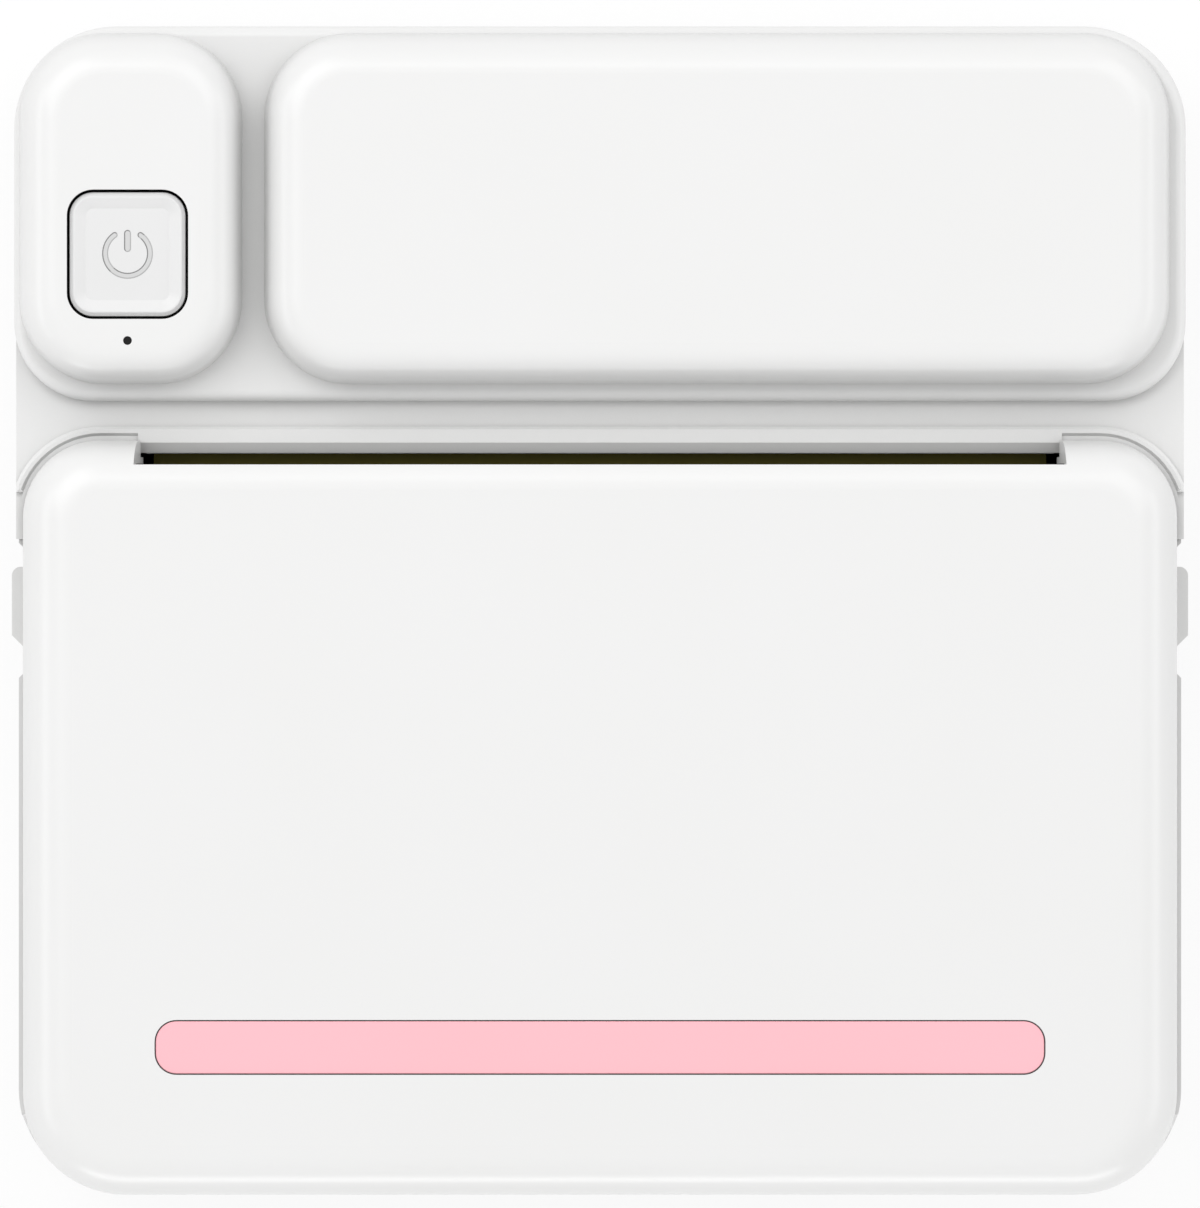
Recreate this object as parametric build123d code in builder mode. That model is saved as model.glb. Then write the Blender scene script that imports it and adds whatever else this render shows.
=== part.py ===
from build123d import *
import os
from math import acos, atan2, cos, hypot, pi, radians, sin, sqrt, tan

# Pocket printer for a 57 mm roll of thermal paper, lying on its back.
# Millimetres. +X to the right, +Y towards the power button, +Z up.
# The origin is the middle of the rectangle it stands on.

os.makedirs("parts", exist_ok=True)

# Paper roll that the printer is built round
paper_width = 57.0
roll_diameter = 30.0
paper_play = 0.8

# Clearances
joint_gap = 0.3
seat_gap = 0.1
running_gap = 0.05
seam_gap = 0.2

# Case
body_corner = 7.0
case_wall = 1.8
roof_thick = 1.8
floor_thick = 1.5
base_draft = 1.4
base_edge = 2.0
parting_height = 24.0
side_room = 6.8
seal_lip_thick = 0.6
seal_lip_height = 1.2

# Feet and fasteners
foot_proud = 0.5
foot_thick = 1.0
foot_radius = 3.5
foot_inset_x = 16.0
foot_inset_y = 7.0
screw_radius = 1.0
screw_head_radius = 1.9
screw_head_height = 1.3
case_screw_length = 7.0
screw_sink = 0.6
screw_grip = 3.5
small_screw_length = 3.4
boss_radius = 2.9
boss_room = 0.8
front_boss_room = 1.3
rear_boss_inset = 12.0
board_boss_radius = 2.0

# Platform and pods
platform_rise = 1.5
pod_rise = 4.0
platform_overhang = 0.12
platform_corner = 5.4
platform_edge = 0.7
neck_length = 2.7
ledge_length = 1.15
pod_length = 24.0
pod_inset = 0.5
pod_corner = 5.8
pod_edge = 2.6
pod_draft = 7.0
pod_wall = 2.4
small_pod_inset = 0.25
small_pod_width = 15.25
pod_gap = 1.5
large_pod_inset = 1.0

# Cover
lid_inset = 0.5
lid_front_corner = 5.3
lid_back_corner = 7.0
lid_edge = 3.4
lid_wall = 1.6
rib_thick = 0.8
rib_height = 0.9
rib_spacing = 15.0
rib_count = 5

# Rim round the cover's front corners, with the ledge that closes the gap below
rim_width = 0.65
rim_rise = 0.6
rim_edge = 0.2
rim_end_inset = 3.55
horn_end_inset = 6.75
ledge_reach = 0.6
ledge_drop = 0.15
rebate_depth = 0.75

# Paper slot
slot_margin = 0.25
slot_depth = 1.6
slot_end_slope = 0.65
lip_set_back = 0.07
lip_wall = 1.0
lip_wall_height = 3.6
tongue_set_back = 0.75
tongue_slope = 0.7
pocket_headroom = 0.8

# Pull ears and the finger recess under them
ear_reach = 0.9
ear_back = -2.5
ear_front = 3.0
ear_height = 4.0
ear_chamfer = 0.8
ear_round = 0.6
recess_half_length = 4.65
recess_depth = 0.9
recess_bottom = 7.0

# Hinge
barrel_radius = 2.5
lug_centre = 22.0
lug_width = 4.0
hinge_pin_radius = 0.75
hinge_pin_length = 12.0
lug_foot_drop = 10.0
lug_set_back = 0.35

# Accent strip
strip_length = 60.9
strip_width = 3.75
strip_corner = 1.5
strip_depth = 0.8
strip_inset = 10.13
strip_gap = 0.09
strip_sink = 0.05

# Power button and indicator
button_inset = 7.45
button_front = 8.85
button_width = 8.3
button_length = 8.85
button_corner = 1.8
button_travel = 0.5
button_sink = 0.15
button_bevel = 0.25
button_flange = 0.7
button_dish = 0.3
dish_inset = 0.1
dish_slope = 68.0
stem_width = 3.0
stem_rib = 1.2
seal_thick = 0.4
indicator_front = 2.95
indicator_hole = 0.3
light_pipe_radius = 0.45
light_pipe_sink = 1.1

# Paper bin
hinge_room = 6.6
bin_wall = 1.0
bin_cheek = 1.2
deck_thick = 1.1
deck_drop = 0.6

# Platen
platen_room = 5.4
platen_radius = 4.4
platen_margin = 0.5
platen_drop = 7.2
shaft_radius = 1.25
shaft_chamfer = 0.25
shaft_overhang = 0.4
bush_radius = 2.5
nip_gap = 0.05

# Mechanism frame
plate_play = 0.6
plate_thick = 1.5
tower_behind = 4.2
tower_ahead = 3.9
tower_rise = 2.0
notch_widening = 0.8
frame_room = 0.5
frame_floor_thick = 1.2
frame_floor_short = 0.6
frame_boss_inset = 2.8
frame_boss_behind = 0.4
spring_room = 3.85
rear_wall_thick = 1.2
rear_wall_below = 4.8
rear_wall_above = 0.6
motor_arm_rise = 5.2
motor_arm_reach = 5.5
guide_gap = 0.9
guide_thick = 0.9
guide_from = 218.0
guide_to = 308.0

# Holder of the platen, screwed under the cover
holder_front_set = 4.9
holder_length = 7.7
holder_thick = 1.5
holder_boss_height = 1.5
holder_play = 0.5
holder_arm_thick = 1.2
eye_wall = 1.2
holder_screw_x = 20.0
holder_screw_behind = 8.8

# Print head
head_margin = 1.6
head_thick = 0.7
head_below = 5.5
head_above = 1.4
spreader_margin = 0.5
spreader_thick = 1.5
spreader_short = 0.2
pivot_below = 10.8
pivot_radius = 0.8
pivot_root = 3.0
spring_half_width = 9.0
spring_thick = 0.3
spring_below = 2.6
spring_rise = 2.2

# Gear train, on the left side plate
gear_module = 0.5
addendum = 0.85
dedendum = 1.2
pressure_angle = radians(20.0)
backlash = 0.13
undercut = 0.9
gear_face = 2.0
outer_face = 1.3
gear_layer_gap = 0.3
platen_teeth = 18
idler_teeth = 24
compound_small_teeth = 12
compound_large_teeth = 30
pinion_teeth = 12
idler_ahead = 1.6
compound_ahead = 7.4
axle_radius = 0.75
axle_overhang = 0.4

# Motor
motor_radius = 7.0
motor_length = 18.0
motor_lean = 16.0
motor_room = 1.3
motor_boss_radius = 2.2
motor_edge = 0.6
motor_shaft_depth = 2.0

# Circuit board and what it carries
board_rise = 1.4
board_thick = 1.0
board_side_room = 1.2
board_step_back = 4.5
board_step_side = 4.0
board_boss_inset = 4.0
board_boss_back_inset = 3.5
board_boss_front_inset = 2.9
board_boss_step = 10.0
switch_size = 6.0
switch_height = 3.5
switch_corner = 0.3
plunger_radius = 1.6
plunger_depth = 1.6
plunger_rise = 1.5
radio_x = 15.0
radio_ahead = 6.9
radio_width = 13.0
radio_length = 9.0
radio_height = 2.2
radio_board = 0.7
antenna_width = 3.2
shield_corner = 0.5
socket_x = 12.0
socket_width = 8.94
socket_height = 3.2
socket_length = 7.3
socket_wall = 0.3
tongue_thick = 0.7
tongue_width = 6.7
tongue_sink = 0.8
tongue_root = 1.0
led_width = 1.6
led_length = 0.8
led_height = 0.7
chip_size = 7.0
chip_height = 0.9
chip_x = -4.0
driver_size = 5.0
driver_x = -14.0
chip_ahead = 8.0
coil_size = 4.0
coil_height = 2.0
coil_x = 3.5
head_plug_x = -3.0
head_plug_width = 20.0
head_plug_length = 3.4
head_plug_height = 2.0
head_plug_slit = 0.5
battery_plug_width = 6.0
battery_plug_length = 4.0
battery_plug_height = 2.6

# Battery
battery_width = 50.0
battery_length = 34.0
battery_height = 8.0
battery_room = 0.8
battery_edge = 1.2
lead_radius = 0.55
lead_pitch = 1.8
lead_bend = 1.6
lead_reach = 2.8
lead_back = 6.0

# Widths, from the paper outwards to the case
bin_half_width = paper_width / 2 + paper_play
platen_half_length = paper_width / 2 + platen_margin
head_half_width = platen_half_length + head_margin
spreader_half_width = head_half_width + spreader_margin
plate_inner = spreader_half_width + plate_play
plate_outer = plate_inner + plate_thick
slot_half_width = plate_inner + slot_margin
holder_arm_outer = plate_inner - holder_play
body_width = 2 * (plate_outer + side_room)
lid_width = body_width - 2 * lid_inset
side_inner = body_width / 2 - case_wall

# Lengths, from the hinge over the roll and the platen to the far end of the pods
bin_radius = roll_diameter / 2 + paper_play
bin_reach = bin_radius + bin_wall
body_length = (
    hinge_room
    + 2 * bin_reach
    + platen_room
    + platen_radius
    + nip_gap
    + slot_depth
    + neck_length
    + ledge_length
    + pod_length
    + pod_inset
)
end_inner = body_length / 2 - case_wall
lid_back = -body_length / 2
hinge_y = lid_back + barrel_radius
bin_y = lid_back + hinge_room + bin_reach
deck_front = bin_y + bin_reach
platen_y = deck_front + platen_room
nip_y = platen_y + platen_radius + nip_gap
slot_lip = nip_y - lip_set_back
tongue_edge = nip_y + tongue_set_back
lid_front = nip_y + slot_depth
lid_length = lid_front - lid_back
lid_middle = (lid_front + lid_back) / 2
bay_front = lid_front + joint_gap
front_wall_back = lid_front + case_wall
horn_end = lid_front - horn_end_inset
rim_end = lid_front - rim_end_inset
platform_front = lid_front + neck_length
pod_front = platform_front + ledge_length
pod_back = pod_front + pod_length
small_pod_left = -body_width / 2 + small_pod_inset
small_pod_right = small_pod_left + small_pod_width
large_pod_left = small_pod_right + pod_gap
large_pod_right = body_width / 2 - large_pod_inset
button_x = small_pod_left + button_inset
button_y = pod_front + button_front
indicator_y = pod_front + indicator_front
strip_y = lid_back + strip_inset
tower_back = platen_y - tower_behind
tower_front = platen_y + tower_ahead
spreader_front = nip_y + head_thick
spreader_back = spreader_front + spreader_thick
rear_wall_y = spreader_back + spring_room
rear_wall_back = rear_wall_y + rear_wall_thick
frame_floor_front = rear_wall_y - frame_floor_short
holder_front = platen_y - holder_front_set
holder_back = holder_front - holder_length
holder_screw_y = platen_y - holder_screw_behind
holder_eye = bush_radius + eye_wall
guide_radius = platen_radius + guide_gap
board_front = rear_wall_back + joint_gap
board_back = end_inner - seat_gap - seal_lip_thick - seam_gap
radio_y = board_front + radio_ahead
chip_y = board_front + chip_ahead
battery_y = end_inner - battery_room - battery_length / 2
lead_x = battery_width / 2 + lead_reach
lead_y = battery_y + lead_back


def pitch_radius(teeth):
    return gear_module * teeth / 2


def tip_radius(teeth):
    return pitch_radius(teeth) + addendum * gear_module


# Centres of the wheels: the motor lies over the battery, and each wheel meshes with the next,
# up to the platen's gear
idler_reach = pitch_radius(platen_teeth) + pitch_radius(idler_teeth)
compound_reach = pitch_radius(idler_teeth) + pitch_radius(compound_small_teeth)
motor_reach = pitch_radius(compound_large_teeth) + pitch_radius(pinion_teeth)
idler_y = platen_y + idler_ahead
compound_y = idler_y + compound_ahead
motor_y = compound_y + motor_reach * cos(radians(motor_lean))
floor_top = foot_proud + floor_thick
battery_top = floor_top + seat_gap + battery_height
motor_z = battery_top + motor_room + motor_radius
compound_z = motor_z - motor_reach * sin(radians(motor_lean))
idler_z = compound_z + sqrt(compound_reach**2 - compound_ahead**2)
platen_z = idler_z + sqrt(idler_reach**2 - idler_ahead**2)

# Heights, from the platen up to the cover and down again over the pods, the deck and the neck
lid_ceiling = platen_z + platen_drop
body_height = lid_ceiling + roof_thick
platform_height = body_height - pod_rise
neck_height = platform_height - platform_rise
rim_top = neck_height + rim_rise
ledge_top = rim_top - ledge_drop
lid_bottom = parting_height + joint_gap
lip_wall_bottom = lid_ceiling - lip_wall_height
rebate_top = ledge_top + joint_gap
hinge_z = parting_height
seat_radius = barrel_radius + joint_gap
wall_top = hinge_z - seat_radius
deck_back = hinge_y + seat_radius + joint_gap
lug_foot = hinge_z - lug_foot_drop
bin_z = floor_top + seat_gap + bin_reach
deck_top = parting_height - deck_drop
frame_floor = battery_top + frame_room
tower_top = platen_z + tower_rise
pocket_top = tower_top + pocket_headroom
rear_wall_bottom = platen_z - rear_wall_below
rear_wall_top = platen_z + rear_wall_above
motor_arm_top = motor_z + motor_arm_rise
head_bottom = platen_z - head_below
head_top = platen_z + head_above
spreader_top = head_top - spreader_short
pivot_z = platen_z - pivot_below
spring_z = platen_z - spring_below
board_bottom = parting_height + seal_lip_height + board_rise
board_top = board_bottom + board_thick
switch_top = board_top + switch_height
button_top = body_height - button_sink
screw_seat = floor_top + screw_sink + screw_head_height
base_boss_top = screw_seat + screw_grip
post_top = lid_ceiling + seam_gap

# Places of the gears across the left side plate, and the room for the plates and the gears
pocket_half_width = plate_outer + joint_gap + seam_gap
tongue_half_width = slot_half_width - joint_gap
gear_inner_x = -(plate_outer + joint_gap)
gear_outer_x = gear_inner_x - gear_face
outer_gear_x = gear_outer_x - gear_layer_gap
outer_gear_end = outer_gear_x - outer_face

# Places of the bosses, screws and feet
front_boss_x = side_inner - boss_radius - front_boss_room
front_boss_y = end_inner - boss_radius - front_boss_room
rear_boss_x = side_inner - boss_radius - boss_room
rear_boss_y = lid_back + rear_boss_inset
frame_boss_x = plate_inner - frame_boss_inset
frame_boss_y = platen_y - frame_boss_behind
board_left = -(side_inner - board_side_room)
board_right = front_boss_x - board_step_side
board_step = front_boss_y - board_step_back
board_boss_right = board_right - board_boss_inset
board_boss_left = -board_right + board_boss_step
board_boss_back = board_back - board_boss_back_inset
board_boss_front = board_front + board_boss_front_inset
foot_x = body_width / 2 - foot_inset_x
foot_y = body_length / 2 - foot_inset_y


def meshing_phase(y, z, teeth, phase, other_y, other_z, other_teeth):
    """Angle of a tooth of the other wheel, so that its teeth stand in the gaps of the first."""
    line = atan2(other_z - z, other_y - y)
    along = pitch_radius(teeth) * (phase - line)
    return line + pi - (along + pi * gear_module / 2) / pitch_radius(other_teeth)


platen_phase = atan2(idler_z - platen_z, idler_y - platen_y)
idler_phase = meshing_phase(
    platen_y, platen_z, platen_teeth, platen_phase, idler_y, idler_z, idler_teeth
)
compound_phase = meshing_phase(
    idler_y, idler_z, idler_teeth, idler_phase, compound_y, compound_z, compound_small_teeth
)
pinion_phase = meshing_phase(
    compound_y, compound_z, compound_large_teeth, compound_phase, motor_y, motor_z, pinion_teeth
)


def body_plan(inset=0.0):
    """Outline of the body seen from above."""
    with BuildSketch(mode=Mode.PRIVATE) as plan:
        RectangleRounded(
            body_width - 2 * inset, body_length - 2 * inset, body_corner - inset
        )
    return plan.sketch


def lid_plan(margin=0.0):
    """Outline of the cover seen from above, grown by the margin."""
    with BuildSketch(mode=Mode.PRIVATE) as plan:
        with Locations((0, lid_middle)):
            Rectangle(lid_width + 2 * margin, lid_length + 2 * margin)
        by_y = plan.vertices().group_by(Axis.Y)
        fillet(by_y[-1], lid_front_corner + margin)
        by_y = plan.vertices().group_by(Axis.Y)
        fillet(by_y[0], lid_back_corner + margin)
    return plan.sketch


def platform_plan(inset=0.0):
    """Outline of the raised deck, wider than the body by its overhang."""
    wide = body_width + 2 * platform_overhang - 2 * inset
    long = body_length - 2 * inset
    front = platform_front + inset
    with BuildSketch(mode=Mode.PRIVATE) as plan:
        RectangleRounded(wide, long, body_corner - inset)
        with Locations((0, front + body_length / 2)):
            RectangleRounded(
                2 * body_width, body_length, platform_corner, mode=Mode.INTERSECT
            )
        by_y = plan.vertices().group_by(Axis.Y)
        fillet(by_y[0], platform_corner - inset)
    return plan.sketch


def pod_plan(left, right, inset=0.0):
    """Outline of one pod."""
    with BuildSketch(mode=Mode.PRIVATE) as plan:
        with Locations(((left + right) / 2, (pod_front + pod_back) / 2)):
            RectangleRounded(
                right - left - 2 * inset,
                pod_back - pod_front - 2 * inset,
                pod_corner - inset,
            )
    return plan.sketch


def slab(low, high, mode=Mode.ADD):
    """Rectangle from its low corner to its high corner, in the sketch that is being made."""
    with Locations((low[0], low[1])):
        Rectangle(high[0] - low[0], high[1] - low[1], align=(Align.MIN, Align.MIN), mode=mode)


def save(name, shape):
    """Label a finished piece and write it to its own file."""
    shape.label = name
    export_step(shape, f"parts/{name}.step")


# Base tray: moulded shell with draft, finger recesses under the ears, seat and lugs of the hinge,
# bosses for the screws and pockets for the rubber feet
boss_places = [
    (-front_boss_x, front_boss_y),
    (front_boss_x, front_boss_y),
    (-rear_boss_x, rear_boss_y),
    (rear_boss_x, rear_boss_y),
]
frame_boss_places = [(-frame_boss_x, frame_boss_y), (frame_boss_x, frame_boss_y)]
board_boss_places = [
    (board_boss_left, board_boss_back),
    (board_boss_right, board_boss_back),
    (board_boss_right, board_boss_front),
]
foot_places = [
    (-foot_x, -foot_y),
    (foot_x, -foot_y),
    (-foot_x, foot_y),
    (foot_x, foot_y),
]

with BuildPart() as bottom_case:
    with BuildSketch(Plane.XY.offset(parting_height)):
        add(body_plan())
    extrude(amount=-(parting_height - foot_proud), taper=base_draft)
    fillet(bottom_case.faces().sort_by(Axis.Z)[0].edges(), base_edge)
    with BuildSketch(Plane.XY.offset(floor_top)):
        add(body_plan(case_wall))
    extrude(amount=body_height, mode=Mode.SUBTRACT)
    # Finger recess in each side, with slanted ends
    for side in (-1, 1):
        edge = side * body_width / 2
        with BuildSketch(Plane.XY.offset(recess_bottom)):
            with BuildLine():
                Polyline(
                    (edge + side * recess_depth, recess_half_length + recess_depth),
                    (edge - side * recess_depth, recess_half_length - recess_depth),
                    (edge - side * recess_depth, -recess_half_length + recess_depth),
                    (edge + side * recess_depth, -recess_half_length - recess_depth),
                    close=True,
                )
            make_face()
        extrude(amount=body_height, mode=Mode.SUBTRACT)
    # Round seat for the cover's barrel along the end wall
    with BuildSketch(Plane.YZ):
        with Locations((hinge_y, hinge_z)):
            Circle(seat_radius)
        with Locations((hinge_y - body_length / 4, wall_top + body_height / 2)):
            Rectangle(body_length / 2, body_height)
    extrude(amount=body_width, both=True, mode=Mode.SUBTRACT)
    # Lugs that carry the hinge pins
    for side in (-1, 1):
        with BuildSketch(Plane.YZ.offset(side * lug_centre)):
            with Locations((hinge_y, hinge_z)):
                Circle(barrel_radius)
            with BuildLine():
                Polyline(
                    (hinge_y - barrel_radius + lug_set_back, hinge_z),
                    (hinge_y + barrel_radius, hinge_z),
                    (-end_inner, lug_foot),
                    (-end_inner - case_wall / 2, lug_foot),
                    close=True,
                )
            make_face()
        extrude(amount=lug_width / 2, both=True)
    with BuildSketch(Plane.YZ):
        with Locations((hinge_y, hinge_z)):
            Circle(hinge_pin_radius)
    extrude(amount=lug_centre + lug_width, both=True, mode=Mode.SUBTRACT)
    # Bosses over the screws that come up through the floor
    with BuildSketch(Plane.XY.offset(floor_top)):
        with Locations(*boss_places):
            Circle(boss_radius)
    extrude(amount=base_boss_top - floor_top)
    for x, y in boss_places:
        with Locations(Plane((x, y, foot_proud), z_dir=(0, 0, -1))):
            CounterBoreHole(
                screw_radius + seat_gap,
                screw_head_radius + seam_gap,
                screw_seat - foot_proud,
                parting_height,
            )
    # Bosses under the mechanism frame
    with BuildSketch(Plane.XY.offset(floor_top)):
        with Locations(*frame_boss_places):
            Circle(boss_radius)
            Circle(screw_radius, mode=Mode.SUBTRACT)
    extrude(amount=frame_floor - floor_top)
    # Lip inside the wall that centres the upper case
    lip_inset = case_wall + seat_gap
    for low, outer_inset in (
        (parting_height - seal_lip_height, case_wall),
        (parting_height, lip_inset),
    ):
        with BuildSketch(Plane.XY.offset(low)):
            add(body_plan(outer_inset))
            add(body_plan(lip_inset + seal_lip_thick), mode=Mode.SUBTRACT)
            with Locations((0, front_wall_back + joint_gap - body_length)):
                Rectangle(2 * body_width, 2 * body_length, mode=Mode.SUBTRACT)
        extrude(amount=seal_lip_height)
    # Pockets for the feet
    with BuildSketch(Plane.XY.offset(foot_thick)):
        with Locations(*foot_places):
            Circle(foot_radius + seat_gap)
    extrude(amount=-foot_thick, mode=Mode.SUBTRACT)
save("bottom_case", bottom_case.part)

# Upper case: deck over the electronics with two pods, neck, rim and ledge round the cover's front
# corners, bevelled tongue behind the paper slot
with BuildPart() as upper_case:
    with BuildSketch(Plane.XY.offset(parting_height)):
        add(body_plan())
        with Locations((0, horn_end - body_length)):
            Rectangle(2 * body_width, 2 * body_length, mode=Mode.SUBTRACT)
        add(lid_plan(joint_gap - ledge_reach), mode=Mode.SUBTRACT)
    extrude(amount=neck_height - parting_height)
    # Rim
    with BuildSketch(Plane.XY.offset(neck_height)):
        add(lid_plan(joint_gap + rim_width))
        add(body_plan(), mode=Mode.INTERSECT)
        add(lid_plan(joint_gap), mode=Mode.SUBTRACT)
        with Locations((0, rim_end - body_length)):
            Rectangle(2 * body_width, 2 * body_length, mode=Mode.SUBTRACT)
    extrude(amount=rim_rise)
    chamfer(upper_case.faces().filter_by(Plane.XY).group_by(Axis.Z)[-1].edges(), rim_edge)
    # Ledge under the cover's edge
    with BuildSketch(Plane.XY.offset(neck_height)):
        add(lid_plan(joint_gap))
        add(lid_plan(joint_gap - ledge_reach), mode=Mode.SUBTRACT)
        with Locations((0, horn_end - body_length)):
            Rectangle(2 * body_width, 2 * body_length, mode=Mode.SUBTRACT)
    extrude(amount=ledge_top - neck_height)
    # Raised deck
    with BuildSketch(Plane.XY.offset(neck_height)):
        add(platform_plan())
    extrude(amount=platform_height - neck_height)
    fillet(upper_case.faces().sort_by(Axis.Z)[-1].edges(), platform_edge)
    # Pods
    for left, right in ((small_pod_left, small_pod_right), (large_pod_left, large_pod_right)):
        with BuildSketch(Plane.XY.offset(platform_height)):
            add(pod_plan(left, right))
        extrude(amount=body_height - platform_height, taper=pod_draft)
    pod_tops = upper_case.faces().filter_by(Plane.XY).group_by(Axis.Z)[-1]
    fillet(pod_tops.edges(), pod_edge)
    # Hollow below the neck, the deck and the pods
    with BuildSketch(Plane.XY.offset(parting_height)):
        add(body_plan(case_wall))
        with Locations((0, front_wall_back - body_length)):
            Rectangle(2 * body_width, 2 * body_length, mode=Mode.SUBTRACT)
    extrude(amount=neck_height - roof_thick - parting_height, mode=Mode.SUBTRACT)
    with BuildSketch(Plane.XY.offset(parting_height)):
        add(platform_plan(case_wall + platform_overhang))
    extrude(amount=platform_height - roof_thick - parting_height, mode=Mode.SUBTRACT)
    for left, right in ((small_pod_left, small_pod_right), (large_pod_left, large_pod_right)):
        with BuildSketch(Plane.XY.offset(parting_height)):
            add(pod_plan(left, right, pod_wall))
        extrude(amount=body_height - roof_thick - parting_height, mode=Mode.SUBTRACT)
    # Opening in the front wall for the mechanism and the gear train
    with BuildSketch(Plane.XY.offset(parting_height)):
        with Locations((0, bay_front)):
            Rectangle(2 * pocket_half_width, 4 * case_wall)
    extrude(amount=neck_height - roof_thick - parting_height, mode=Mode.SUBTRACT)
    with BuildSketch(Plane.XY.offset(parting_height)):
        with Locations((outer_gear_end / 2, bay_front)):
            Rectangle(-outer_gear_end + joint_gap, 4 * case_wall)
    extrude(
        amount=idler_z + tip_radius(idler_teeth) + joint_gap - parting_height, mode=Mode.SUBTRACT
    )
    # Tongue that reaches into the cover's notch and guides the paper out
    with BuildSketch(Plane.YZ):
        with BuildLine():
            Polyline(
                (bay_front + rim_width / 2, rim_top),
                (tongue_edge + tongue_slope, rim_top),
                (tongue_edge, rim_top - tongue_slope),
                (tongue_edge, neck_height - roof_thick),
                (front_wall_back, neck_height - roof_thick),
                (front_wall_back, neck_height),
                (bay_front + rim_width / 2, neck_height),
                close=True,
            )
        make_face()
    extrude(amount=tongue_half_width, both=True)
    # Button's opening and the indicator's hole
    with BuildSketch(Plane.XY.offset(parting_height)):
        with Locations((button_x, button_y)):
            RectangleRounded(button_width, button_length, button_corner)
        with Locations((button_x, indicator_y)):
            Circle(indicator_hole)
    extrude(amount=body_height, mode=Mode.SUBTRACT)
    # Mouth of the charging socket in the back wall
    with BuildSketch(Plane.XZ.offset(-body_length / 2 - case_wall)):
        with Locations((socket_x, board_top + socket_height / 2)):
            SlotOverall(socket_width + 2 * seam_gap, socket_height + 2 * seam_gap)
    extrude(amount=3 * case_wall, mode=Mode.SUBTRACT)
    # Screw posts: two long ones to the base, four short ones to the circuit board
    with BuildSketch(Plane.XY.offset(base_boss_top)):
        with Locations(boss_places[0], boss_places[1]):
            Circle(boss_radius)
    extrude(amount=post_top - base_boss_top)
    with BuildSketch(Plane.XY.offset(board_top)):
        with Locations(*board_boss_places):
            Circle(board_boss_radius)
    extrude(amount=post_top - board_top)
    with BuildSketch(Plane.XY.offset(base_boss_top)):
        with Locations(boss_places[0], boss_places[1]):
            Circle(screw_radius)
    extrude(amount=screw_seat + case_screw_length - base_boss_top, mode=Mode.SUBTRACT)
    with BuildSketch(Plane.XY.offset(board_top)):
        with Locations(*board_boss_places):
            Circle(screw_radius)
    extrude(amount=small_screw_length - board_thick, mode=Mode.SUBTRACT)
save("upper_case", upper_case.part)

# Paper bin: trough for the roll between two cheeks, with the deck that closes the base round it
with BuildPart() as paper_bin:
    with BuildSketch(Plane.YZ):
        with Locations((bin_y, bin_z)):
            Circle(bin_radius + bin_wall)
        with Locations((bin_y, (bin_z + deck_top) / 2)):
            Rectangle(2 * (bin_radius + bin_wall), deck_top - bin_z)
        with Locations((bin_y, deck_top + body_height / 2)):
            Rectangle(body_length, body_height, mode=Mode.SUBTRACT)
    extrude(amount=bin_half_width + bin_cheek, both=True)
    # Deck
    with BuildSketch(Plane.XY.offset(deck_top)):
        with Locations((0, (deck_front + deck_back) / 2)):
            Rectangle(2 * (side_inner - seam_gap), deck_front - deck_back)
    extrude(amount=-deck_thick)
    # Room for the roll
    with BuildSketch(Plane.YZ):
        with Locations((bin_y, bin_z)):
            Circle(bin_radius)
        with Locations((bin_y, (bin_z + deck_top + bin_wall) / 2)):
            Rectangle(2 * bin_radius, deck_top - bin_z + bin_wall)
    extrude(amount=bin_half_width, both=True, mode=Mode.SUBTRACT)
    # Posts for the rear screws of the case
    with BuildSketch(Plane.XY.offset(parting_height)):
        for side in (-1, 1):
            with Locations((side * rear_boss_x, rear_boss_y)):
                Circle(boss_radius)
    extrude(amount=base_boss_top - parting_height)
    with BuildSketch(Plane.XY.offset(base_boss_top)):
        for side in (-1, 1):
            with Locations((side * rear_boss_x, rear_boss_y)):
                Circle(screw_radius)
    extrude(amount=screw_seat + case_screw_length - base_boss_top, mode=Mode.SUBTRACT)
save("paper_bin", paper_bin.part)

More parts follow.
